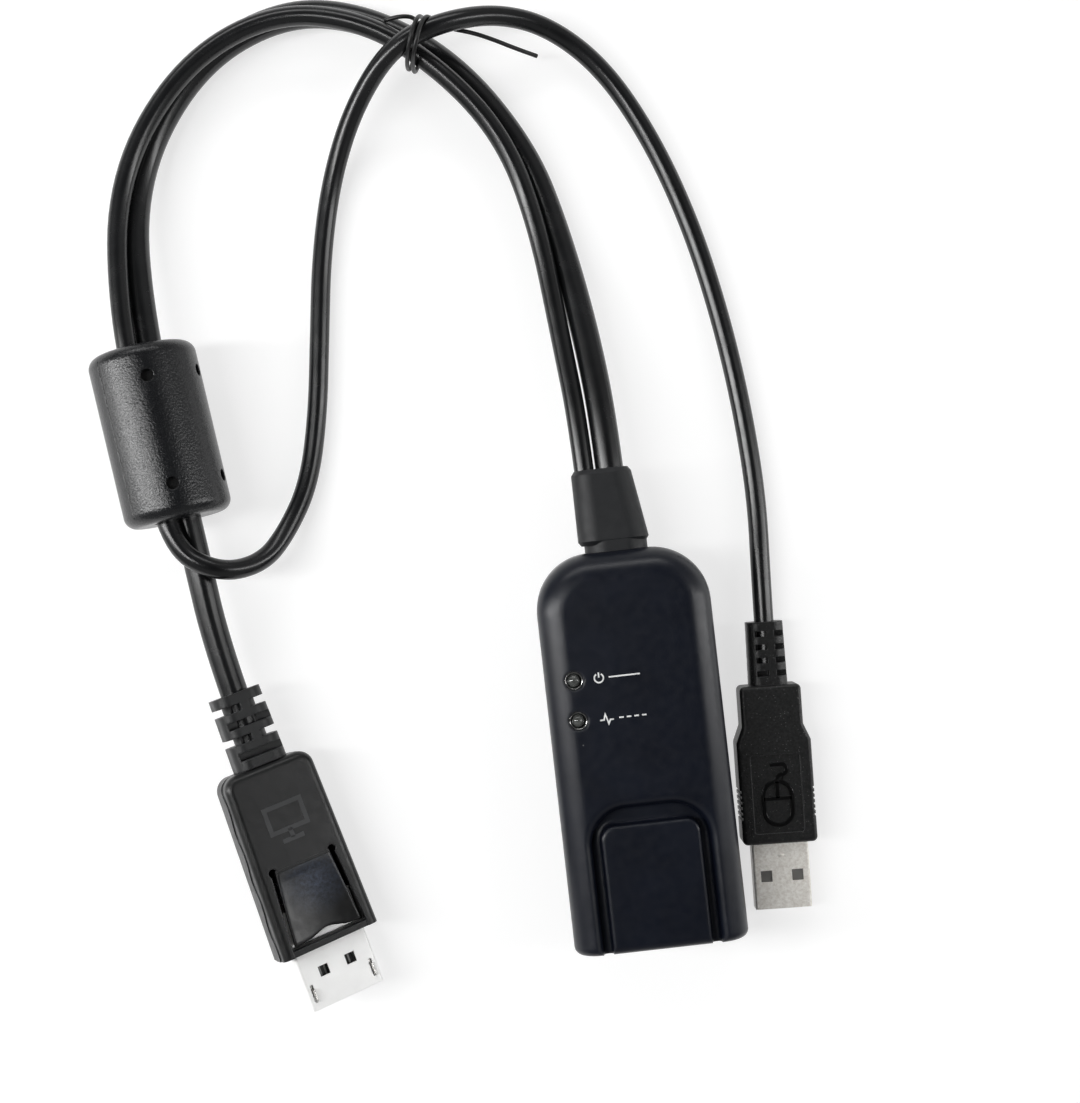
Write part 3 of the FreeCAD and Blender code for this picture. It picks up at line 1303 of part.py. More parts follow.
# ---------------------------------------------------------------- the ferrite choke
# A moulded jacket round a ferrite sleeve; both cables pass through the sleeve.
CHOKE_SPOT = FreeCAD.Placement(
    V(-92.06, 67.18, s.ferrite_width.value / 2),
    FreeCAD.Rotation(V(0, 0, 1), s.choke_turn.value))
jacket = new_body("jacket_form")
sketch = new_sketch(jacket, "XY_Plane", 0)
end = s.ferrite_length / 2
rim_half = s.ferrite_width / 2
outline(sketch, [
    (dim(0), -end), (rim_half - s.ferrite_round, -end, s.ferrite_round),
    (rim_half, s.ferrite_round - end), (rim_half, end - s.ferrite_round, s.ferrite_round),
    (rim_half - s.ferrite_round, end), (dim(0), end),
])
turned = jacket.newObject("PartDesign::Revolution", "jacket_turned")
turned.Profile = sketch
turned.ReferenceAxis = (sketch, ["V_Axis"])
turned.Angle = 360.0


def round_the_choke(thing, angle, along, out):
    """Turn a tool about the choke axis and move it along and outwards."""
    turn = FreeCAD.Rotation(V(0, 1, 0), angle.value)
    spot = turn.multVec(V(0, 0, out.value))
    spot.y = along.value
    thing.Placement = FreeCAD.Placement(spot, turn.multiply(thing.Placement.Rotation))


tools = [rod("core_room", 0, -s.core_length / 2, 0, s.core_width, s.core_length, "y")]
for half_turn in (0, 180):
    for side in (-1, 1):
        for along in (-1, 1):
            name = "dimple_%d_%d_%d" % (half_turn, side + 1, along + 1)
            pin = doc.addObject("Part::Cylinder", name)
            bind(pin, "Radius", s.dimple_width / 2)
            bind(pin, "Height", s.dimple_depth + 2)
            round_the_choke(pin, s.mould_turn + s.dimple_angle * side + half_turn,
                            s.dimple_pitch / 2 * along, rim_half - s.dimple_depth)
            tools.append(pin)
    seam = doc.addObject("Part::Box", "seam_%d" % half_turn)
    bind(seam, "Length", s.seam_width)
    bind(seam, "Width", s.ferrite_length)
    bind(seam, "Height", s.seam_depth + 1)
    round_the_choke(seam, s.mould_turn + 90 + half_turn, -end,
                    rim_half - s.seam_depth)
    tools.append(seam)
for name, run, size in (("video", VIDEO_RUN, s.video_cable), ("bus", BUS_RUN, s.bus_cable)):
    passage = doc.addObject("Part::Feature", name + "_passage")
    passage.Shape = tube(run, (size + s.cable_fit * 2).value)[0]
    passage.Placement = CHOKE_SPOT.inverse()
    tools.append(passage)
piece(cut("jacket", jacket, tools), "ferrite_jacket", CHOKE_SPOT)
sleeve = rod("sleeve", 0, -s.core_length / 2, 0, s.core_width, s.core_length, "y")
bore = rod("sleeve_bore", 0, -s.core_length / 2 - 1, 0, s.core_bore,
           s.core_length + 2, "y")
piece(cut("core", sleeve, [bore]), "ferrite_core", CHOKE_SPOT)

# ------------------------------------------------------------------ the twist tie
# One wire wound twice round the crossing of the cables. Points as (across the bundle,
# up, along the bundle), then the two loose ends.
TIE_CENTRE = V(-30.1, 142.0, 0)
TIE_ACROSS = V(0.35, 0.937, 0)
TIE_ALONG = V(0.937, -0.35, 0)
TIE_WINDINGS = [
    (6.6, 9.0, -1.5), (6.2, 0.6, -1.0), (-2.4, 0.6, -0.8), (-4.6, 9.6, -0.6),
    (-1.8, 17.2, -0.4), (4.6, 17.2, -0.2), (7.0, 9.0, 0.1), (6.6, 0.6, 0.3),
    (-2.6, 0.6, 0.5), (-4.8, 9.6, 0.7), (-1.8, 17.5, 0.9), (5.0, 17.3, 1.1),
    (6.6, 11.0, 2.4),
]
TIE_FREE_START = [(-35.7, 148.8, 8.6), (-32.9, 148.9, 10.4)]
TIE_FREE_END = [
    (-22.6, 145.4, 9.4), (-17.7, 143.9, 9.6), (-13.4, 142.2, 8.6),
    (-9.0, 140.4, 6.6), (-4.6, 138.9, 4.4),
]
wound = []
for across, up, along in TIE_WINDINGS:
    point = TIE_CENTRE + TIE_ACROSS * across + TIE_ALONG * along
    wound.append((point.x, point.y, up))
TIE_RUN = TIE_FREE_START + wound + TIE_FREE_END
twist_tie = cord("twist_tie", TIE_RUN, s.tie_wire.value)

# ------------------------------------------------------------------ check and write
doc.recompute()
for thing in doc.Objects:
    if "Invalid" in thing.State or "Error" in thing.State:
        raise ValueError(thing.Name + " did not compute")
os.makedirs("parts", exist_ok=True)
for thing in pieces:
    if thing.Shape.isNull() or not thing.Shape.isValid():
        raise ValueError(thing.Label + " has no valid shape")
    thing.Shape.exportStep("parts/" + thing.Label + ".step")
print("pieces:", len(pieces))
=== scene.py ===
import math

import bmesh
import bpy
import numpy as np
from mathutils import Matrix, Vector


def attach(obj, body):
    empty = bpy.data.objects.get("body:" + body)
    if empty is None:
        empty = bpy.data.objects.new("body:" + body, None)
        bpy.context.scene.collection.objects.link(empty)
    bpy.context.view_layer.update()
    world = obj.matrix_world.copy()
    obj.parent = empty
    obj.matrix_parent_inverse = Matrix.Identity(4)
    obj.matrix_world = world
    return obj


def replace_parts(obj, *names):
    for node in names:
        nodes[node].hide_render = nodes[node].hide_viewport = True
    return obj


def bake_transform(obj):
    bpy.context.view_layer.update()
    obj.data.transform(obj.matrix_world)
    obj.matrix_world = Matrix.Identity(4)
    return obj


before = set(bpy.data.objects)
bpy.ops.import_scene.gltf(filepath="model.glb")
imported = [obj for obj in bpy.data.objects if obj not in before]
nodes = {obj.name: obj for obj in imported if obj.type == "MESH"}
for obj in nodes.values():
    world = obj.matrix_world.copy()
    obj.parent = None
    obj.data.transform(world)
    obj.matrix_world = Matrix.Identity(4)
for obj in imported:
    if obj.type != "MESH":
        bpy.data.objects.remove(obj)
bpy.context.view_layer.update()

# ------------------------------------------------------------------ camera and studio
# A plain white table under the adapter, seen from straight above it. One long soft box
# hangs to the left, two stand low along the sides and one hangs behind the cables.
EYE = (-0.01587, 0.03402, 0.380)
CAMERA_TURN = math.radians(-6.48)
TABLE_REACH = 1.5
TABLE_DEPTH = 0.0002


def placed(name, data):
    """An object of its own in the scene."""
    thing = bpy.data.objects.new(name, data)
    bpy.context.scene.collection.objects.link(thing)
    return thing


def soft_box(name, spot, aim, size, watts):
    """A rectangular studio lamp that faces a point."""
    lamp = bpy.data.lights.new(name, "AREA")
    lamp.shape = "RECTANGLE"
    lamp.size, lamp.size_y = size
    lamp.energy = watts
    holder = placed(name, lamp)
    holder.location = spot
    holder.rotation_euler = (Vector(aim) - Vector(spot)).to_track_quat("-Z", "Y").to_euler()


def node(tree, kind, values=None, links=None, **settings):
    """One shader node with its settings, its fixed values and what feeds it."""
    made = tree.nodes.new("ShaderNode" + kind)
    for key, value in settings.items():
        setattr(made, key, value)
    for key, value in (values or {}).items():
        made.inputs[key].default_value = value
    for key, source in (links or {}).items():
        tree.links.new(source, made.inputs[key])
    return made


def finish(name, roughness, metallic=0.0, specular=0.5):
    """A new finish: its material, its tree, its shader and the object's own coordinates."""
    made = bpy.data.materials.new(name)
    made.use_nodes = True
    tree = made.node_tree
    shader = tree.nodes["Principled BSDF"]
    shader.inputs["Roughness"].default_value = roughness
    shader.inputs["Metallic"].default_value = metallic
    shader.inputs["Specular IOR Level"].default_value = specular
    return made, tree, shader, node(tree, "TexCoord").outputs["Object"]


camera = placed("camera", bpy.data.cameras.new("camera"))
camera.location = EYE
camera.rotation_euler = (0, 0, CAMERA_TURN)
camera.data.sensor_fit = "VERTICAL"
camera.data.sensor_height = 24
camera.data.lens = 38.38
camera.data.clip_start = 0.01
bpy.context.scene.camera = camera
bpy.context.scene.view_settings.view_transform = "Standard"

soft_box("key_strip", (-0.52, 0.08, 0.56), (-0.04, 0.03, 0), (0.10, 0.80), 3.9)
soft_box("left_strip", (-0.66, 0.06, 0.22), (-0.02, 0.02, 0), (0.10, 0.95), 1.5)
soft_box("right_strip", (0.66, 0.02, 0.24), (-0.02, 0.02, 0), (0.12, 0.95), 2.6)
soft_box("back_strip", (-0.06, 0.72, 0.46), (-0.02, 0.06, 0), (0.80, 0.12), 1.6)

# The air is a white tent, darker right overhead where the light is kept off. What shows
# of it behind the table is plain white.
world = bpy.data.worlds.new("studio")
bpy.context.scene.world = world
world.use_nodes = True
air = world.node_tree
height = node(air, "SeparateXYZ", links={0: node(air, "TexCoord").outputs["Generated"]})
tent = node(air, "MapRange", {"From Min": 0.66, "From Max": 0.97, "To Min": 0.30, "To Max": 0.035},
            {"Value": height.outputs["Z"]}, interpolation_type="SMOOTHSTEP")
level = node(air, "Mix", {"B": 1.0},
             {"Factor": node(air, "LightPath").outputs["Is Camera Ray"], "A": tent.outputs[0]})
background = air.nodes["Background"]
background.inputs["Color"].default_value = (1, 1, 1, 1)
air.links.new(level.outputs["Result"], background.inputs["Strength"])

# The table is matt white. To the eye and in reflections it also glows, more so away from
# the adapter, so that it stays white and still keeps the adapter's shadow.
table = bpy.data.meshes.new("table")
table.from_pydata([(TABLE_REACH * x, TABLE_REACH * y, 0) for x, y in ((-1, -1), (1, -1), (1, 1), (-1, 1))],
                  [], [(0, 1, 2, 3)])
floor = placed("table", table)
floor.location.z = -TABLE_DEPTH
white, tree, paint, place = finish("white_table", 0.75, specular=0.2)
paint.inputs["Base Color"].default_value = (0.80, 0.80, 0.80, 1)
shade = node(tree, "BsdfDiffuse", {"Color": (0.45, 0.45, 0.45, 1)})
away = node(tree, "VectorMath", links={0: place}, operation="LENGTH")
fade = node(tree, "MapRange", {"From Min": 0.24, "From Max": 0.60, "To Min": 0.64, "To Max": 1.0},
            {"Value": away.outputs["Value"]}, interpolation_type="SMOOTHSTEP")
glow = node(tree, "Emission", {"Color": (1, 1, 1, 1)}, {"Strength": fade.outputs[0]})
both = node(tree, "AddShader", links={0: shade.outputs[0], 1: glow.outputs[0]})
ray = node(tree, "LightPath")
seen = node(tree, "Math", links={0: ray.outputs["Is Camera Ray"], 1: ray.outputs["Is Glossy Ray"]},
            operation="MAXIMUM")
pick = node(tree, "MixShader", links={"Fac": seen.outputs[0], 1: paint.outputs[0], 2: both.outputs[0]})
tree.links.new(pick.outputs[0], tree.nodes["Material Output"].inputs["Surface"])
floor.data.materials.append(white)

# -------------------------------------------------------------------------- the cords
# Two round cables leave the rubber boot side by side: a thick one to the video plug and
# a thin one that loops back to the bus plug. Their jackets are extruded glossy vinyl.
# Routes and shapes are worked in millimetres, lengths and thicknesses are in metres.
MM = 0.001
VIDEO_CABLE, VIDEO_LENGTH = 0.0059, 0.319
BUS_CABLE, BUS_LENGTH = 0.0042, 0.592
VIDEO_RUN = (
    (0.6, 36, 11), (0.6, 57.5, 11), (-1.1, 79.6, 6.8), (-4.6, 101.6, 3), (-9.4, 119.4, 3),
    (-22, 138.7, 4.1), (-39.3, 151.1, 4.1), (-57.6, 155, 3), (-78.2, 145.6, 3),
    (-93.2, 122.4, 4.8), (-94, 92, 9.5), (-88, 43.3, 9.5), (-85.4, 19.9, 8.8), (-80.5, 0.5, 8.7),
)
BUS_RUN = (
    (-4.7, 36, 11), (-4.7, 57.5, 11), (-6.5, 79, 7.9), (-8.5, 102, 6.4), (-13.2, 120.7, 7.8),
    (-23.6, 135.6, 9.1), (-39.2, 148.8, 9.4), (-59.4, 153.4, 8.6), (-80.2, 143.8, 8.4),
    (-95.5, 121.2, 10.2), (-97.4, 91.3, 13.6), (-94.1, 66.6, 13.5), (-91.9, 43.6, 14.9),
    (-82.5, 37, 14.9), (-74.1, 38.1, 9), (-68.8, 44.4, 4.4), (-63.4, 54, 2.3),
    (-59.9, 68.4, 2.15), (-57.6, 85, 2.15), (-55.2, 102.5, 2.15), (-50.9, 119, 3),
    (-44, 132.4, 7.4), (-34.4, 141.9, 14.1), (-23.6, 145.6, 14.1), (-12, 147.6, 8.8),
    (-1.2, 144.6, 5), (9.4, 135, 2.8), (18, 118.6, 2.15), (24.2, 99.6, 2.15), (28.2, 79.6, 2.15),
    (30.6, 59.6, 2.15), (31.5, 40, 2.4), (30.2, 22, 4), (29.4, 5, 4),
)


def laid(name, run, diameter):
    """A cord as one smooth spline through its route, given in millimetres.
    """
    line = bpy.data.curves.new(name, "CURVE")
    line.dimensions = "3D"
    spline = line.splines.new("NURBS")
    spline.points.add(len(run) - 1)
    for point, (x, y, z) in zip(spline.points, run):
        point.co = (x * MM, y * MM, z * MM, 1)
        point.radius = diameter / 2
    spline.order_u = 3
    spline.use_endpoint_u = True
    spline.resolution_u = 10
    line.bevel_depth = 1.0
    line.bevel_resolution = 8
    line.use_fill_caps = True
    cord = placed(name, line)
    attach(cord, "adapter")
    return cord


def noise(tree, place, scale, detail, rough=0.5, stretch=None):
    """Noise over the object at a scale per metre, stretched along an axis if asked."""
    if stretch:
        place = node(tree, "Mapping", {"Scale": stretch}, {"Vector": place}).outputs[0]
    return node(tree, "TexNoise", {"Scale": scale, "Detail": detail, "Roughness": rough},
                {"Vector": place}).outputs[0]


def between(tree, source, low, high, bottom=0.3, top=0.7):
    """A factor spread over a range of values."""
    return node(tree, "MapRange", {"From Min": bottom, "From Max": top, "To Min": low, "To Max": high},
                {"Value": source}).outputs[0]


def tones(tree, source, dark, light, bottom):
    """A colour that goes from dark to light as a factor rises through its middle."""
    ramp = node(tree, "ValToRGB", links={"Fac": source})
    band = ramp.color_ramp.elements
    band[0].position, band[0].color = bottom, (*dark, 1)
    band[1].position, band[1].color = 1 - bottom, (*light, 1)
    return ramp.outputs["Color"]


def mottle(tree, shader, place, scale, detail, dark, light, bottom=0.3, rough=0.5):
    """Cloud the colour of a finish between two tones."""
    colour = tones(tree, noise(tree, place, scale, detail, rough), dark, light, bottom)
    tree.links.new(colour, shader.inputs["Base Color"])


def uneven(tree, shader, place, scale, detail, low, high):
    """Let the roughness of a finish wander between two values."""
    tree.links.new(between(tree, noise(tree, place, scale, detail), low, high), shader.inputs["Roughness"])


def relief(tree, shader, height, depth, soft=None, strength=1.0):
    """Raise a fine relief on a finish, over eased edges where they are given."""
    bump = node(tree, "Bump", {"Strength": strength, "Distance": depth}, {"Height": height})
    if soft is not None:
        tree.links.new(soft, bump.inputs["Normal"])
    tree.links.new(bump.outputs[0], shader.inputs["Normal"])


def dress(made, *names):
    """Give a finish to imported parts, by node name, or to pieces of this script."""
    for name in names:
        piece = nodes.get(name) if isinstance(name, str) else name
        piece.data.materials.clear()
        piece.data.materials.append(made)


video_cable = laid("video_cable_jacket", VIDEO_RUN, VIDEO_CABLE)
bus_cable = laid("bus_cable_jacket", BUS_RUN, BUS_CABLE)
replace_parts(video_cable, "video_cable")
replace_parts(bus_cable, "bus_cable")
vinyl, tree, shader, place = finish("jacket_vinyl", 0.24)
mottle(tree, shader, place, 60, 4, (0.0035, 0.0037, 0.0042), (0.0070, 0.0074, 0.0082))
uneven(tree, shader, place, 260, 4, 0.216, 0.288)
relief(tree, shader, noise(tree, place, 110, 2, 0.4), 0.000012)
dress(vinyl, video_cable, bus_cable)

# -------------------------------------------------------------------------- the wire tie
# A steel wire in a thin black skin, wound twice round the place where the bus cable
# crosses the bundle. Its two ends are left loose.
TIE_WIRE, TIE_LENGTH = 0.0009, 0.119
TIE_CENTRE = (-30.1, 142.0)
ACROSS, ALONG = (0.35, 0.937), (0.937, -0.35)
TIE_WINDINGS = (
    (6.6, 9.0, -1.5), (6.2, 0.6, -1.0), (-2.4, 0.6, -0.8), (-4.6, 9.6, -0.6), (-1.8, 17.2, -0.4),
    (4.6, 17.2, -0.2), (7.0, 9.0, 0.1), (6.6, 0.6, 0.3), (-2.6, 0.6, 0.5), (-4.8, 9.6, 0.7),
    (-1.8, 17.5, 0.9), (5.0, 17.3, 1.1), (6.6, 11.0, 2.4),
)
FREE_START = ((-35.7, 148.8, 8.6), (-32.9, 148.9, 10.4))
FREE_END = (
    (-22.6, 145.4, 9.4), (-17.7, 143.9, 9.6), (-13.4, 142.2, 8.6), (-9, 140.4, 6.6), (-4.6, 138.9, 4.4),
)
RUBBED = (0.16, 0.165, 0.17)


def over(tree, colour, tone, first, second):
    """Lay a tone over a colour, as far as two factors agree."""
    share = node(tree, "Math", links={0: first, 1: second}, operation="MULTIPLY").outputs[0]
    return node(tree, "Mix", {"B": (*tone, 1)}, {"Factor": share, "A": colour},
                data_type="RGBA").outputs["Result"]


def moulded(name, dark, light, rough, grain=0.00022, depth=0.000012, edge=0.0003, wear=0.0,
            specular=0.5, dust_and_glints=None, patch=90):
    """Moulded plastic or rubber: mottled tone, uneven gloss, fine grain, eased edges.

    Wear pales the edges. Light specks, as (cells per metre, rarity, size, tone), stand for dust on some
    finishes and are painted glints on others.
    """
    made, tree, shader, place = finish(name, rough[0], specular=specular)
    colour = tones(tree, noise(tree, place, patch, 4), dark, light, 0.32)
    soft = node(tree, "Bevel", {"Radius": edge}, samples=6).outputs[0]
    if wear:
        flat = node(tree, "NewGeometry").outputs["True Normal"]
        turn = node(tree, "VectorMath", links={0: soft, 1: flat}, operation="DOT_PRODUCT")
        # The product is 1 on flat ground and falls where the edge is eased.
        ridge = between(tree, turn.outputs["Value"], wear, 0, 0.80, 0.985)
        colour = over(tree, colour, RUBBED, ridge, noise(tree, place, 900, 3))
    # Pale specks painted in: real dust on the housing, painted glints on the sparkle grip.
    if dust_and_glints:
        cells, rarity, size, speck = dust_and_glints
        spots = node(tree, "TexVoronoi", {"Scale": cells, "Randomness": 1.0}, {"Vector": place})
        near = between(tree, spots.outputs["Distance"], 1, 0, size * cells * 0.7, size * cells * 1.2)
        chosen = between(tree, noise(tree, place, cells / 3.7, 1), 0, 1, rarity, rarity + 0.08)
        colour = over(tree, colour, speck, near, chosen)
    tree.links.new(colour, shader.inputs["Base Color"])
    uneven(tree, shader, place, patch * 6, 5, *rough)
    relief(tree, shader, noise(tree, place, 1 / grain, 2), depth, soft)
    return made


wound = [(TIE_CENTRE[0] + ACROSS[0] * across + ALONG[0] * along,
          TIE_CENTRE[1] + ACROSS[1] * across + ALONG[1] * along, up)
         for across, up, along in TIE_WINDINGS]
TIE_RUN = (*FREE_START, *wound, *FREE_END)
tie = laid("wire_tie", TIE_RUN, TIE_WIRE)
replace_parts(tie, "twist_tie")
dress(moulded("tie_skin", (0.003, 0.003, 0.0034), (0.007, 0.007, 0.0076), (0.34, 0.5),
              grain=0.0002, depth=0.00001, edge=0.0001), tie)

# --------------------------------------------------------------------------- the housing
# Two halves moulded in black plastic with a satin spark texture. The lower half carries
# the board; four screws from below hold the halves together.
satin = moulded("satin_housing", (0.0026, 0.0038, 0.0082), (0.0042, 0.0060, 0.0122), (0.29, 0.37),
                grain=0.00016, depth=0.000010, edge=0.0008, wear=0.25, specular=0.38,
                dust_and_glints=(230.0, 0.60, 0.00015, (0.40, 0.40, 0.39)))
dress(satin, "housing_top", "housing_base")
screw = moulded("blackened_screws", (0.03, 0.03, 0.032), (0.06, 0.06, 0.062), (0.3, 0.45),
                grain=0.0001, depth=0.000004, edge=0.0001)
dress(screw, "housing_screws")

# ------------------------------------------------------------------------ the printed signs
# Pad-printed in thin pale grey ink beside the lamps: a power sign with a steady line and
# a pulse sign with a broken line.
DECK = 22.0
INK_LOW, INK_HIGH = DECK - 0.02, DECK + 0.025
INK_LINE = 0.31
POWER_ROW, PULSE_ROW = 7.15, -1.25
AS_WORKED = Matrix.Identity(4)


def rib(work, points, width, low, high, closed):
    """One line of a raised or printed mark: a flat strip with mitred corners, in mm."""
    count = len(points)
    rings = []
    for i, here in enumerate(points):
        here = Vector(here)
        before = Vector(points[i - 1]) if closed or i else None
        after = Vector(points[(i + 1) % count]) if closed or i < count - 1 else None
        first = (here - before).normalized() if before is not None else (after - here).normalized()
        second = (after - here).normalized() if after is not None else first
        out = Vector((-(first.y + second.y), first.x + second.x)).normalized()
        half = width / 2 / max(0.35, out.dot(Vector((-first.y, first.x))))
        a, b = here + out * half, here - out * half
        rings.append([work.verts.new((*side, z)) for side, z in ((a, high), (b, high), (b, low), (a, low))])
    for i in range(count if closed else count - 1):
        one, two = rings[i], rings[(i + 1) % count]
        for k in range(4):
            work.faces.new((one[k], two[k], two[k - 3], one[k - 3]))
    if not closed:
        work.faces.new(rings[0])
        work.faces.new(rings[-1][::-1])


def formed(name, work, made, spot=AS_WORKED, body="adapter", smooth=True):
    """A finished piece from a shape worked in millimetres, set at its place on a body.

    A piece given no body rides on none.
    """
    bmesh.ops.recalc_face_normals(work, faces=work.faces)
    for face in work.faces:
        face.smooth = smooth
    work.transform(Matrix.Scale(MM, 4))
    work.transform(spot)
    mesh = bpy.data.meshes.new(name)
    work.to_mesh(mesh)
    work.free()
    if smooth:
        mesh.set_sharp_from_angle(angle=math.radians(50))
    piece = placed(name, mesh)
    dress(made, piece)
    if body:
        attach(piece, body)
    return piece


def mark(name, lines, width, low, high, made, spot=AS_WORKED):
    """A mark from several lines, each (points, closed), laid at a place on the object."""
    work = bmesh.new()
    for points, closed in lines:
        rib(work, points, width, low, high, closed)
    return formed(name, work, made, spot, smooth=False)


def arc(x, y, radius, start, end, count=24):
    """Points of an arc, its angles in degrees."""
    turns = [math.radians(start + (end - start) * i / count) for i in range(count + 1)]
    return [(x + radius * math.cos(a), y + radius * math.sin(a)) for a in turns]


ink = moulded("pad_print_ink", (0.62, 0.63, 0.63), (0.80, 0.81, 0.80), (0.5, 0.65),
              grain=0.0002, depth=0.000004, edge=0.00003, patch=900)
power_sign = [(arc(-6.9, POWER_ROW, 0.92, 122, 418), False),
              ([(-6.9, POWER_ROW + 0.1), (-6.9, POWER_ROW + 1.15)], False),
              ([(-4.9, POWER_ROW), (1.5, POWER_ROW)], False)]
pulse_sign = [([(-7.6, PULSE_ROW - 0.2), (-6.8, PULSE_ROW - 0.2), (-6.45, PULSE_ROW + 0.95),
                (-5.9, PULSE_ROW - 1.0), (-5.5, PULSE_ROW - 0.2), (-4.8, PULSE_ROW - 0.2)], False)]
pulse_sign += [([(x, PULSE_ROW), (x + 0.95, PULSE_ROW)], False) for x in (-3.7, -2.15, -0.6, 0.95)]
mark("power_sign", power_sign, INK_LINE, INK_LOW, INK_HIGH, ink)
mark("pulse_sign", pulse_sign, INK_LINE, INK_LOW, INK_HIGH, ink)

# -------------------------------------------------------------------------- the rubber boot
# Soft black rubber moulded over both cables where they leave the housing. Its groove sits
# in the wall between the two halves.
rubber = moulded("boot_rubber", (0.0048, 0.0055, 0.0066), (0.0085, 0.0094, 0.0108), (0.44, 0.58),
                 grain=0.0003, depth=0.00002, edge=0.00025, wear=0.3, specular=0.4)
dress(rubber, "cable_boot")

# --------------------------------------------------------------------------------- lamps
# Two lamps of cast clear resin in counterbored holes, each with a flange that stops it
# and a bright ring round its dome. Their leads are soldered to the board.
LAMP_X, LAMP_SEAT = -12.0, 15.6
POWER_LAMP, ACTIVITY_LAMP = 7.1, -1.1
LAMP_RADIUS, DOME_FOOT, DOME_TOP = 1.5, 20.2, 21.6
FLANGE_RADIUS, FLANGE_HEIGHT, FLANGE_EDGE = 1.9, 1.0, 0.1
RING_RADIUS, RING_WIRE, RING_HEIGHT = 1.76, 0.18, 21.2
ROUND_STEPS = 48


def hoop(work, one, two):
    """A band of faces between two rings of points."""
    for k in range(len(one)):
        work.faces.new((one[k - 1], one[k], two[k], two[k - 1]))


def turned(name, profile, spots, made, closed=False):
    """Like pieces turned about upright axes; the profile is (radius, height) in mm.

    A closed profile makes a ring, any other has flat ends.
    """
    work = bmesh.new()
    turns = [2 * math.pi * k / ROUND_STEPS for k in range(ROUND_STEPS)]
    for x, y in spots:
        rings = [[work.verts.new((x + r * math.cos(a), y + r * math.sin(a), z)) for a in turns]
                 for r, z in profile]
        for one, two in zip(rings, rings[1:]):
            hoop(work, one, two)
        if closed:
            hoop(work, rings[-1], rings[0])
        else:
            work.faces.new(rings[0])
            work.faces.new(rings[-1])
    return formed(name, work, made)


lens, tree, shader, place = finish("lamp_lens", 0.05, specular=0.6)
shader.inputs["Transmission Weight"].default_value = 0.55
shader.inputs["IOR"].default_value = 1.55
mottle(tree, shader, place, 900, 3, (0.10, 0.105, 0.10), (0.26, 0.27, 0.26))
relief(tree, shader, noise(tree, place, 700, 2), 0.00002)
FLANGE_TOP = LAMP_SEAT + FLANGE_HEIGHT
lens_profile = [
    (FLANGE_RADIUS - FLANGE_EDGE, LAMP_SEAT), (FLANGE_RADIUS, LAMP_SEAT + FLANGE_EDGE),
    (FLANGE_RADIUS, FLANGE_TOP - FLANGE_EDGE), (FLANGE_RADIUS - FLANGE_EDGE, FLANGE_TOP),
    (LAMP_RADIUS, FLANGE_TOP), (LAMP_RADIUS, DOME_FOOT),
]
for degrees in range(8, 89, 8):
    rise = math.radians(degrees)
    lens_profile.append((LAMP_RADIUS * math.cos(rise), DOME_FOOT + (DOME_TOP - DOME_FOOT) * math.sin(rise)))
for name, lamp, row in (("power_lens", "power_lamp", POWER_LAMP),
                        ("activity_lens", "activity_lamp", ACTIVITY_LAMP)):
    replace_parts(turned(name, lens_profile, [(LAMP_X, row)], lens), lamp)
bright, tree, shader, place = finish("bright_ring", 0.16, metallic=1)
mottle(tree, shader, place, 1300, 3, (0.34, 0.34, 0.34), (0.52, 0.52, 0.51))
uneven(tree, shader, place, 2600, 2, 0.12, 0.24)
ring_profile = arc(RING_RADIUS, RING_HEIGHT, RING_WIRE, 0, 340, 17)
turned("lamp_rings", ring_profile, [(LAMP_X, POWER_LAMP), (LAMP_X, ACTIVITY_LAMP)], bright,
       closed=True)
tin, tree, shader, place = finish("tinned_lead", 0.3, metallic=1)
mottle(tree, shader, place, 900, 4, (0.55, 0.55, 0.55), (0.78, 0.78, 0.77))
dress(tin, "lamp_leads", "capacitors")

# --------------------------------------------------------------------------- network socket
# A black nylon body on the board, wrapped in a bright tin-plated shield, with eight
# gold contact strips that lean up towards the plug.
nylon = moulded("black_nylon", (0.008, 0.008, 0.009), (0.014, 0.014, 0.015), (0.4, 0.55),
                grain=0.0002, depth=0.00001, edge=0.0002)
dress(nylon, "jack_body", "video_insulator")


def plated(name, dark, light, rough, grain=0.00018, depth=0.000006, edge=0.00015, streak=None,
           metal=1.0, patch=260):
    """Plated sheet metal: cloudy tone, fine pits and eased edges."""
    made, tree, shader, place = finish(name, rough[0], metal)
    mottle(tree, shader, place, patch, 4, dark, light, rough=0.6)
    uneven(tree, shader, place, 1500, 4, *rough)
    soft = node(tree, "Bevel", {"Radius": edge}, samples=6).outputs[0]
    relief(tree, shader, noise(tree, place, 1 / grain, 2, stretch=streak), depth, soft)
    return made


dress(plated("tin_shield", (0.62, 0.62, 0.60), (0.75, 0.75, 0.73), (0.22, 0.36)), "jack_shield")
gold = plated("gold_contact", (0.72, 0.50, 0.18), (0.86, 0.64, 0.28), (0.18, 0.3), edge=0.00005)
dress(gold, "jack_contacts", "bus_contacts")

# ------------------------------------------------------------------------------ the board
# A green glass-fibre board with two chips, a line transformer, a crystal, capacitors and
# two nylon headers for the cable wires.
mask, tree, shader, place = finish("solder_mask", 0.3)
mottle(tree, shader, place, 1400, 4, (0.004, 0.055, 0.018), (0.008, 0.10, 0.035), bottom=0.35)
weave = node(tree, "TexWave", {"Scale": 900.0, "Distortion": 0.6}, {"Vector": place})
relief(tree, shader, weave.outputs["Fac"], 0.00001, strength=0.4)
dress(mask, "circuit_board")
epoxy = moulded("chip_epoxy", (0.008, 0.008, 0.008), (0.014, 0.014, 0.014), (0.5, 0.65),
                grain=0.00012, depth=0.000008, edge=0.0001)
dress(epoxy, "controller_chip", "video_chip", "line_transformer")
crystal_can = plated("crystal_can", (0.6, 0.6, 0.58), (0.72, 0.72, 0.7), (0.2, 0.32), streak=(1, 8, 1))
dress(crystal_can, "crystal")
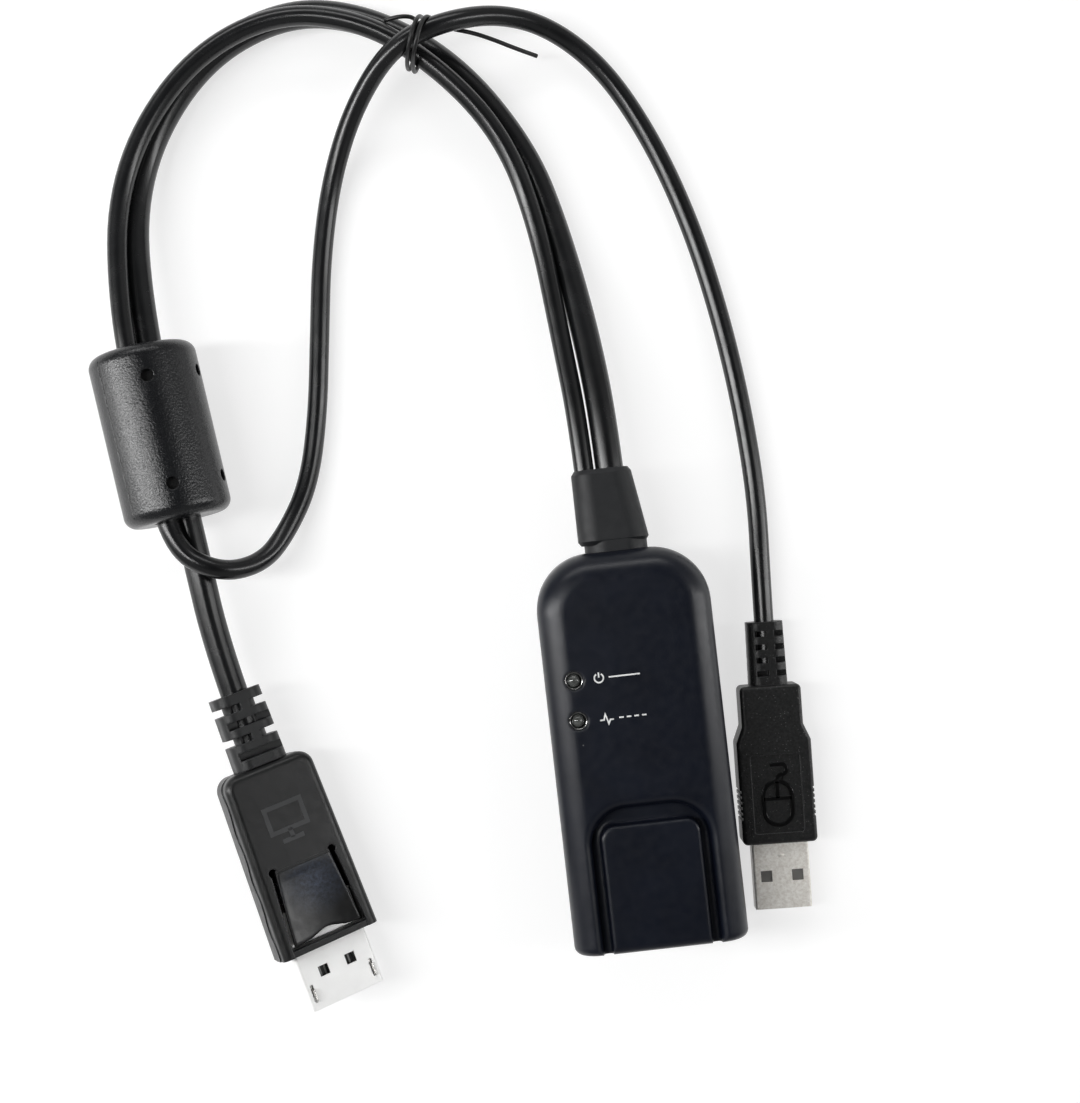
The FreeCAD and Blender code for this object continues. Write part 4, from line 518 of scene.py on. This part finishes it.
natural_nylon = moulded("natural_nylon", (0.52, 0.50, 0.43), (0.62, 0.60, 0.53), (0.4, 0.55))
dress(natural_nylon, "video_header", "bus_header")

# ----------------------------------------------------------------------------- video plug
# Two covers clamp a middle frame round the nickel-plated shell, and all three are black
# plastic with a fine grain. Inside are an insulator, its contacts and the latch spring.
grained = moulded("grained_plug", (0.0038, 0.0040, 0.0042), (0.0070, 0.0072, 0.0075), (0.30, 0.42),
                  grain=0.00020, depth=0.000012, edge=0.0004, wear=0.4, specular=0.42)
dress(grained, "video_plug_top", "video_plug_bottom", "video_plug_frame")
nickel = plated("bright_nickel", (0.93, 0.93, 0.92), (0.99, 0.99, 0.98), (0.28, 0.38),
                grain=0.00050, depth=0.0000015, metal=0.2)
dress(nickel, "video_shell")
dull_contact = plated("dull_contact", (0.16, 0.16, 0.16), (0.26, 0.26, 0.25), (0.35, 0.5), edge=0.00005)
dress(dull_contact, "video_contacts")
strip = plated("spring_strip", (0.55, 0.54, 0.52), (0.70, 0.69, 0.66), (0.2, 0.35), streak=(1, 6, 1))
dress(strip, "video_latch_spring")
relief_rubber = moulded("relief_rubber", (0.0050, 0.0054, 0.0058), (0.0090, 0.0096, 0.0102), (0.36, 0.48),
                        grain=0.00025, depth=0.00002, edge=0.0004, wear=0.3, specular=0.45)
dress(relief_rubber, "video_strain_relief")

# ---------------------------------------------------------------------- the release tongue
# Cut free on three sides in the upper cover, so it bends at its root when pressed. It is
# dished for the thumb, and two studs under it push the latch spring down.
PLUG_SPOT, PLUG_TURN, PLUG_ROLL = (-0.0699, -0.0422, 0.0087), math.radians(14), math.radians(24)
PLUG = (Matrix.Translation(PLUG_SPOT) @ Matrix.Rotation(PLUG_TURN, 4, "Z")
        @ Matrix.Rotation(PLUG_ROLL, 4, "Y"))
PLUG_TOP = 5.25
COVER = 1.5
TONGUE_ROOT, TONGUE_TIP = 17.75, 2.1
TONGUE_LENGTH = TONGUE_ROOT - TONGUE_TIP
ROOT_HALF, TIP_HALF = 6.2, 7.45
DISH = 0.95
ROUND_WIDTH, ROUND_DROP = 0.42, 0.28
NOTCH_DEPTH, NOTCH_PLACE, NOTCH_SPREAD, TIP_LIP = 1.15, 0.4, 3.1, 0.05
STUD_SIZE, STUD_ROUND = (1.2, 1.2, 1.76), 0.15
STUD_OUT, STUD_ALONG, STUD_MIDDLE = 5.5, 10.0, 3.03
# The spot, tone and reach of the painted sheen in the tongue's dish.
SHEEN_SPOT, SHEEN_TONE = (0.8, 13.2), (0.045, 0.056, 0.085)
SHEEN_CORE, SHEEN_REACH = 0.0012, 0.0078


def drop(distance):
    """How far the tongue's rounded rim falls at a distance from its edge."""
    return ROUND_DROP * max(0.0, 1 - distance / ROUND_WIDTH) ** 2


def scoop(u, share):
    """Depth of the dish: u is -1 to 1 across, share is 0 at the tip and 1 at the root."""
    lengthwise = math.sin(math.pi * min(1, 0.06 + (1 - share) * 0.56)) ** 1.2
    return DISH * (1 - u * u) ** 0.75 * lengthwise * min(1, (1 - share) * 7) ** 1.5


# Places across and along the tongue, crowded at the rounded edges.
across = [-1.0, -0.990, -0.972, *np.linspace(-0.944, 0.944, 33), 0.972, 0.990, 1.0]
along = [0.0, 0.07, 0.2, ROUND_WIDTH, *np.linspace(0.9, TONGUE_LENGTH, 40)]
work = bmesh.new()
top, under = [], []
for v in along:
    share = v / TONGUE_LENGTH
    half = TIP_HALF + (ROOT_HALF - TIP_HALF) * share
    row_top, row_under = [], []
    for u in across:
        notch = NOTCH_DEPTH * math.exp(-((u * TIP_HALF - NOTCH_PLACE) / NOTCH_SPREAD) ** 2)
        tip = TONGUE_TIP - TIP_LIP + notch
        x, y = u * half, tip + share * (TONGUE_ROOT - tip)
        fall = drop((1 - abs(u)) * half) + drop(v)
        row_top.append(work.verts.new((x, y, PLUG_TOP - scoop(u, share) - fall)))
        row_under.append(work.verts.new((x, y, PLUG_TOP - COVER)))
    top.append(row_top)
    under.append(row_under)
last = len(across) - 1
for i in range(len(along) - 1):
    for k in range(last):
        work.faces.new((top[i][k], top[i][k + 1], top[i + 1][k + 1], top[i + 1][k]))
        work.faces.new((under[i][k], under[i + 1][k], under[i + 1][k + 1], under[i][k + 1]))
    work.faces.new((top[i][0], top[i + 1][0], under[i + 1][0], under[i][0]))
    work.faces.new((top[i][last], under[i][last], under[i + 1][last], top[i + 1][last]))
for k in range(last):
    work.faces.new((top[0][k], under[0][k], under[0][k + 1], top[0][k + 1]))
    work.faces.new((top[-1][k], top[-1][k + 1], under[-1][k + 1], under[-1][k]))
for side in (-1, 1):
    stud = bmesh.ops.create_cube(work, size=1.0)["verts"]
    bmesh.ops.scale(work, vec=STUD_SIZE, verts=stud)
    bmesh.ops.translate(work, vec=(STUD_OUT * side, STUD_ALONG, STUD_MIDDLE), verts=stud)
    rims = list(dict.fromkeys(edge for corner in stud for edge in corner.link_edges))
    bmesh.ops.bevel(work, geom=rims, offset=STUD_ROUND, segments=2, affect="EDGES")

# The middle of the dish carries a painted blue-grey sheen, broken into specks.
sheen_finish = moulded("painted_sheen_tongue", (0.0038, 0.0040, 0.0042), (0.0070, 0.0072, 0.0075), (0.30, 0.42),
                  grain=0.00020, depth=0.000014, edge=0.0001)
tree = sheen_finish.node_tree
shader = tree.nodes["Principled BSDF"]
place = node(tree, "TexCoord").outputs["Object"]
sheen_distance = node(tree, "VectorMath", {1: PLUG @ (Vector((*SHEEN_SPOT, PLUG_TOP)) * MM)}, {0: place},
              operation="DISTANCE")
painted_sheen = between(tree, sheen_distance.outputs["Value"], 1, 0, SHEEN_CORE, SHEEN_REACH)
sheen_specks = between(tree, noise(tree, place, 1500, 5, 0.75), 0.1, 1.0, 0.36, 0.66)
cover_tone = shader.inputs["Base Color"].links[0].from_socket
tree.links.new(over(tree, cover_tone, SHEEN_TONE, painted_sheen, sheen_specks), shader.inputs["Base Color"])
tongue = formed("release_tongue", work, sheen_finish, PLUG, "release_button")
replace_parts(tongue, "video_release_button")

# ------------------------------------------------------------------------ the tongue's root
# The living hinge: a thin web of the cover's own plastic that runs from the cover into the
# tongue; on the real plug it bends as the tongue goes down, here it stays still on no body.
WEB_HALF, WEB_DEPTH, WEB_CROWN = 0.35, 0.5, 0.012
WEB_INSET = 0.1
COLUMNS = 25
work = bmesh.new()
columns = np.linspace(WEB_INSET - ROOT_HALF, ROOT_HALF - WEB_INSET, COLUMNS)
rows = []
for y in np.linspace(TONGUE_ROOT - WEB_HALF, TONGUE_ROOT + WEB_HALF, 9):
    rise = WEB_CROWN * (1 - abs(y - TONGUE_ROOT) / WEB_HALF)
    rows.append([[work.verts.new((x, y, z)) for x in columns]
                 for z in (PLUG_TOP + rise, PLUG_TOP - WEB_DEPTH)])
for one, two in zip(rows, rows[1:]):
    for k in range(COLUMNS - 1):
        work.faces.new((one[0][k], one[0][k + 1], two[0][k + 1], two[0][k]))
        work.faces.new((one[1][k], two[1][k], two[1][k + 1], one[1][k + 1]))
    work.faces.new((one[0][0], two[0][0], two[1][0], one[1][0]))
    work.faces.new((one[0][-1], one[1][-1], two[1][-1], two[0][-1]))
for row in (rows[0], rows[-1]):
    for k in range(COLUMNS - 1):
        work.faces.new((row[0][k], row[1][k], row[1][k + 1], row[0][k + 1]))
web = formed("tongue_web", work, grained, PLUG, body=None, smooth=False)
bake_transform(web)

# ------------------------------------------------------------------- the picture of a screen
# Moulded with the upper cover, low and narrow, to tell which plug is for the picture. Its
# faces are dull and a little paler than the cover.
SCREEN_PLACE = 27.3
SCREEN_HALF, SCREEN_LOW, SCREEN_HIGH = 4.0, SCREEN_PLACE - 2.0, SCREEN_PLACE + 3.2
FOOT_HALF = 2.4
STAND_LOW, FOOT_PLACE = SCREEN_LOW - 2.0, SCREEN_LOW - 2.2
SCREEN_LINE, SCREEN_RISE, SCREEN_SUNK = 0.95, 0.07, 0.1
dull = moulded("mark_plastic", (0.030, 0.031, 0.032), (0.046, 0.047, 0.049), (0.55, 0.68),
               grain=0.0002, depth=0.00001, edge=0.00005)
screen = [([(-SCREEN_HALF, SCREEN_LOW), (SCREEN_HALF, SCREEN_LOW), (SCREEN_HALF, SCREEN_HIGH),
            (-SCREEN_HALF, SCREEN_HIGH)], True),
          ([(0, SCREEN_LOW), (0, STAND_LOW)], False),
          ([(-FOOT_HALF, FOOT_PLACE), (FOOT_HALF, FOOT_PLACE)], False)]
screen_mark = mark("screen_mark", screen, SCREEN_LINE, PLUG_TOP - SCREEN_SUNK, PLUG_TOP + SCREEN_RISE, dull,
                   PLUG)

# ------------------------------------------------------------------------------- bus plug
# One grip of soft black plastic with a coarse sparkle, moulded over the shell and the
# cable. The shell is plated sheet metal round a grey insulator.
# Its pale specks are painted glints of the sparkle, and its tone is speckled widely, near black to dark
# grey, as a painted sparkle too.
sparkle = moulded("sparkle_grip", (0.0018, 0.0019, 0.0020), (0.0130, 0.0135, 0.0138), (0.32, 0.46),
                  grain=0.00034, depth=0.00007, edge=0.00025, wear=0.3, specular=0.40,
                  dust_and_glints=(1500.0, 0.36, 0.00009, (0.10, 0.10, 0.10)), patch=2200)
dress(sparkle, "bus_plug_body")
warm_nickel = plated("warm_nickel", (0.74, 0.70, 0.64), (1.0, 0.98, 0.93), (0.30, 0.46),
                     grain=0.00030, depth=0.00002, metal=0.25, patch=1700)
dress(warm_nickel, "bus_shell")
grey_nylon = moulded("grey_insulator", (0.10, 0.097, 0.092), (0.20, 0.195, 0.185), (0.4, 0.55))
dress(grey_nylon, "bus_insulator")

# -------------------------------------------------------------------- the pictures of a mouse
# A mouse on its lead, raised and glossy in the sunk panel of the grip. It is moulded with
# the grip, once above and once below.
GRIP_SPOT, GRIP_TURN = (0.0277, -0.033, 0.004), math.radians(-2.5)
GRIP = Matrix.Translation(GRIP_SPOT) @ Matrix.Rotation(GRIP_TURN, 4, "Z")
PANEL = 3.6
MOUSE, MOUSE_HALF = 8.6, 3.0
BUTTONS = MOUSE + 1.0
MOUSE_LINE, MOUSE_RISE, MOUSE_SUNK = 0.85, 0.34, 0.1
outline = arc(0, MOUSE - 1.6, MOUSE_HALF, 180, 360) + arc(0, MOUSE + 1.6, MOUSE_HALF, 0, 180)
lead = arc(1.1, MOUSE + 4.9, 1.1, 180, 90, 8) + arc(1.1, MOUSE + 7.1, 1.1, -90, 90, 12)
mouse = [(outline, True),
         ([(-MOUSE_HALF, BUTTONS), (MOUSE_HALF, BUTTONS)], False),
         ([(0, BUTTONS), (0, MOUSE + 4.6)], False),
         (lead + [(-1.2, MOUSE + 8.2)], False)]
mark_gloss = moulded("mark_gloss", (0.0012, 0.0012, 0.0013), (0.0024, 0.0024, 0.0026), (0.16, 0.24),
                     grain=0.0004, depth=0.000006, edge=0.0002)
for side, turn in (("top", 0), ("under", math.pi)):
    spot = GRIP @ Matrix.Rotation(turn, 4, "Y")
    mark("mouse_mark_" + side, mouse, MOUSE_LINE, PANEL - MOUSE_SUNK, PANEL + MOUSE_RISE,
                            mark_gloss, spot)

# ----------------------------------------------------------------------- the bump on the shell
# A small oval bump in the upper side of the bus plug's shell, close to the grip. It is
# pressed up from the sheet itself.
SHELL_TOP = 2.25
BUMP_PLACE = -2.6
BUMP_LENGTH, BUMP_WIDTH, BUMP_RISE = 1.6, 1.0, 0.45
BUMP_TIP, BUMP_SUNK, BUMP_FOOT = 0.01, 0.02, 0.15
BUMP_RINGS, BUMP_STEPS = 8, 32
turns = [2 * math.pi * k / BUMP_STEPS for k in range(BUMP_STEPS)]
work = bmesh.new()
rings = []
for step in range(BUMP_RINGS + 1):
    share = step / BUMP_RINGS
    rise = BUMP_RISE * (1 - share ** 2) ** 1.5
    wide, deep = (max(share * size / 2, BUMP_TIP) for size in (BUMP_LENGTH, BUMP_WIDTH))
    rings.append([work.verts.new((wide * math.cos(a), BUMP_PLACE + deep * math.sin(a),
                                  SHELL_TOP - BUMP_SUNK + rise)) for a in turns])
rings.append([work.verts.new((v.co.x, v.co.y, SHELL_TOP - BUMP_FOOT)) for v in rings[-1]])
for one, two in zip(rings, rings[1:]):
    hoop(work, one, two)
work.faces.new(rings[0])
work.faces.new(rings[-1][::-1])
bump = formed("shell_bump", work, warm_nickel, GRIP)

# ---------------------------------------------------------------------------- ferrite choke
# A hard sintered ferrite sleeve that both cables pass through. The glossy plastic jacket
# moulded round it shows its mould seams and pin marks.
choke_skin = moulded("choke_skin", (0.0030, 0.0034, 0.0044), (0.0064, 0.0070, 0.0082), (0.22, 0.32),
                     grain=0.00042, depth=0.00008, edge=0.0005, patch=900)
dress(choke_skin, "ferrite_jacket")
# The core is coloured darker than ferrite is: painted shade, so that the pin holes where it shows stay
# black.
dark_core = moulded("core_painted_dark", (0.004, 0.004, 0.0045), (0.008, 0.008, 0.0085), (0.5, 0.7),
                   grain=0.0002, depth=0.00003)
dress(dark_core, "ferrite_core")
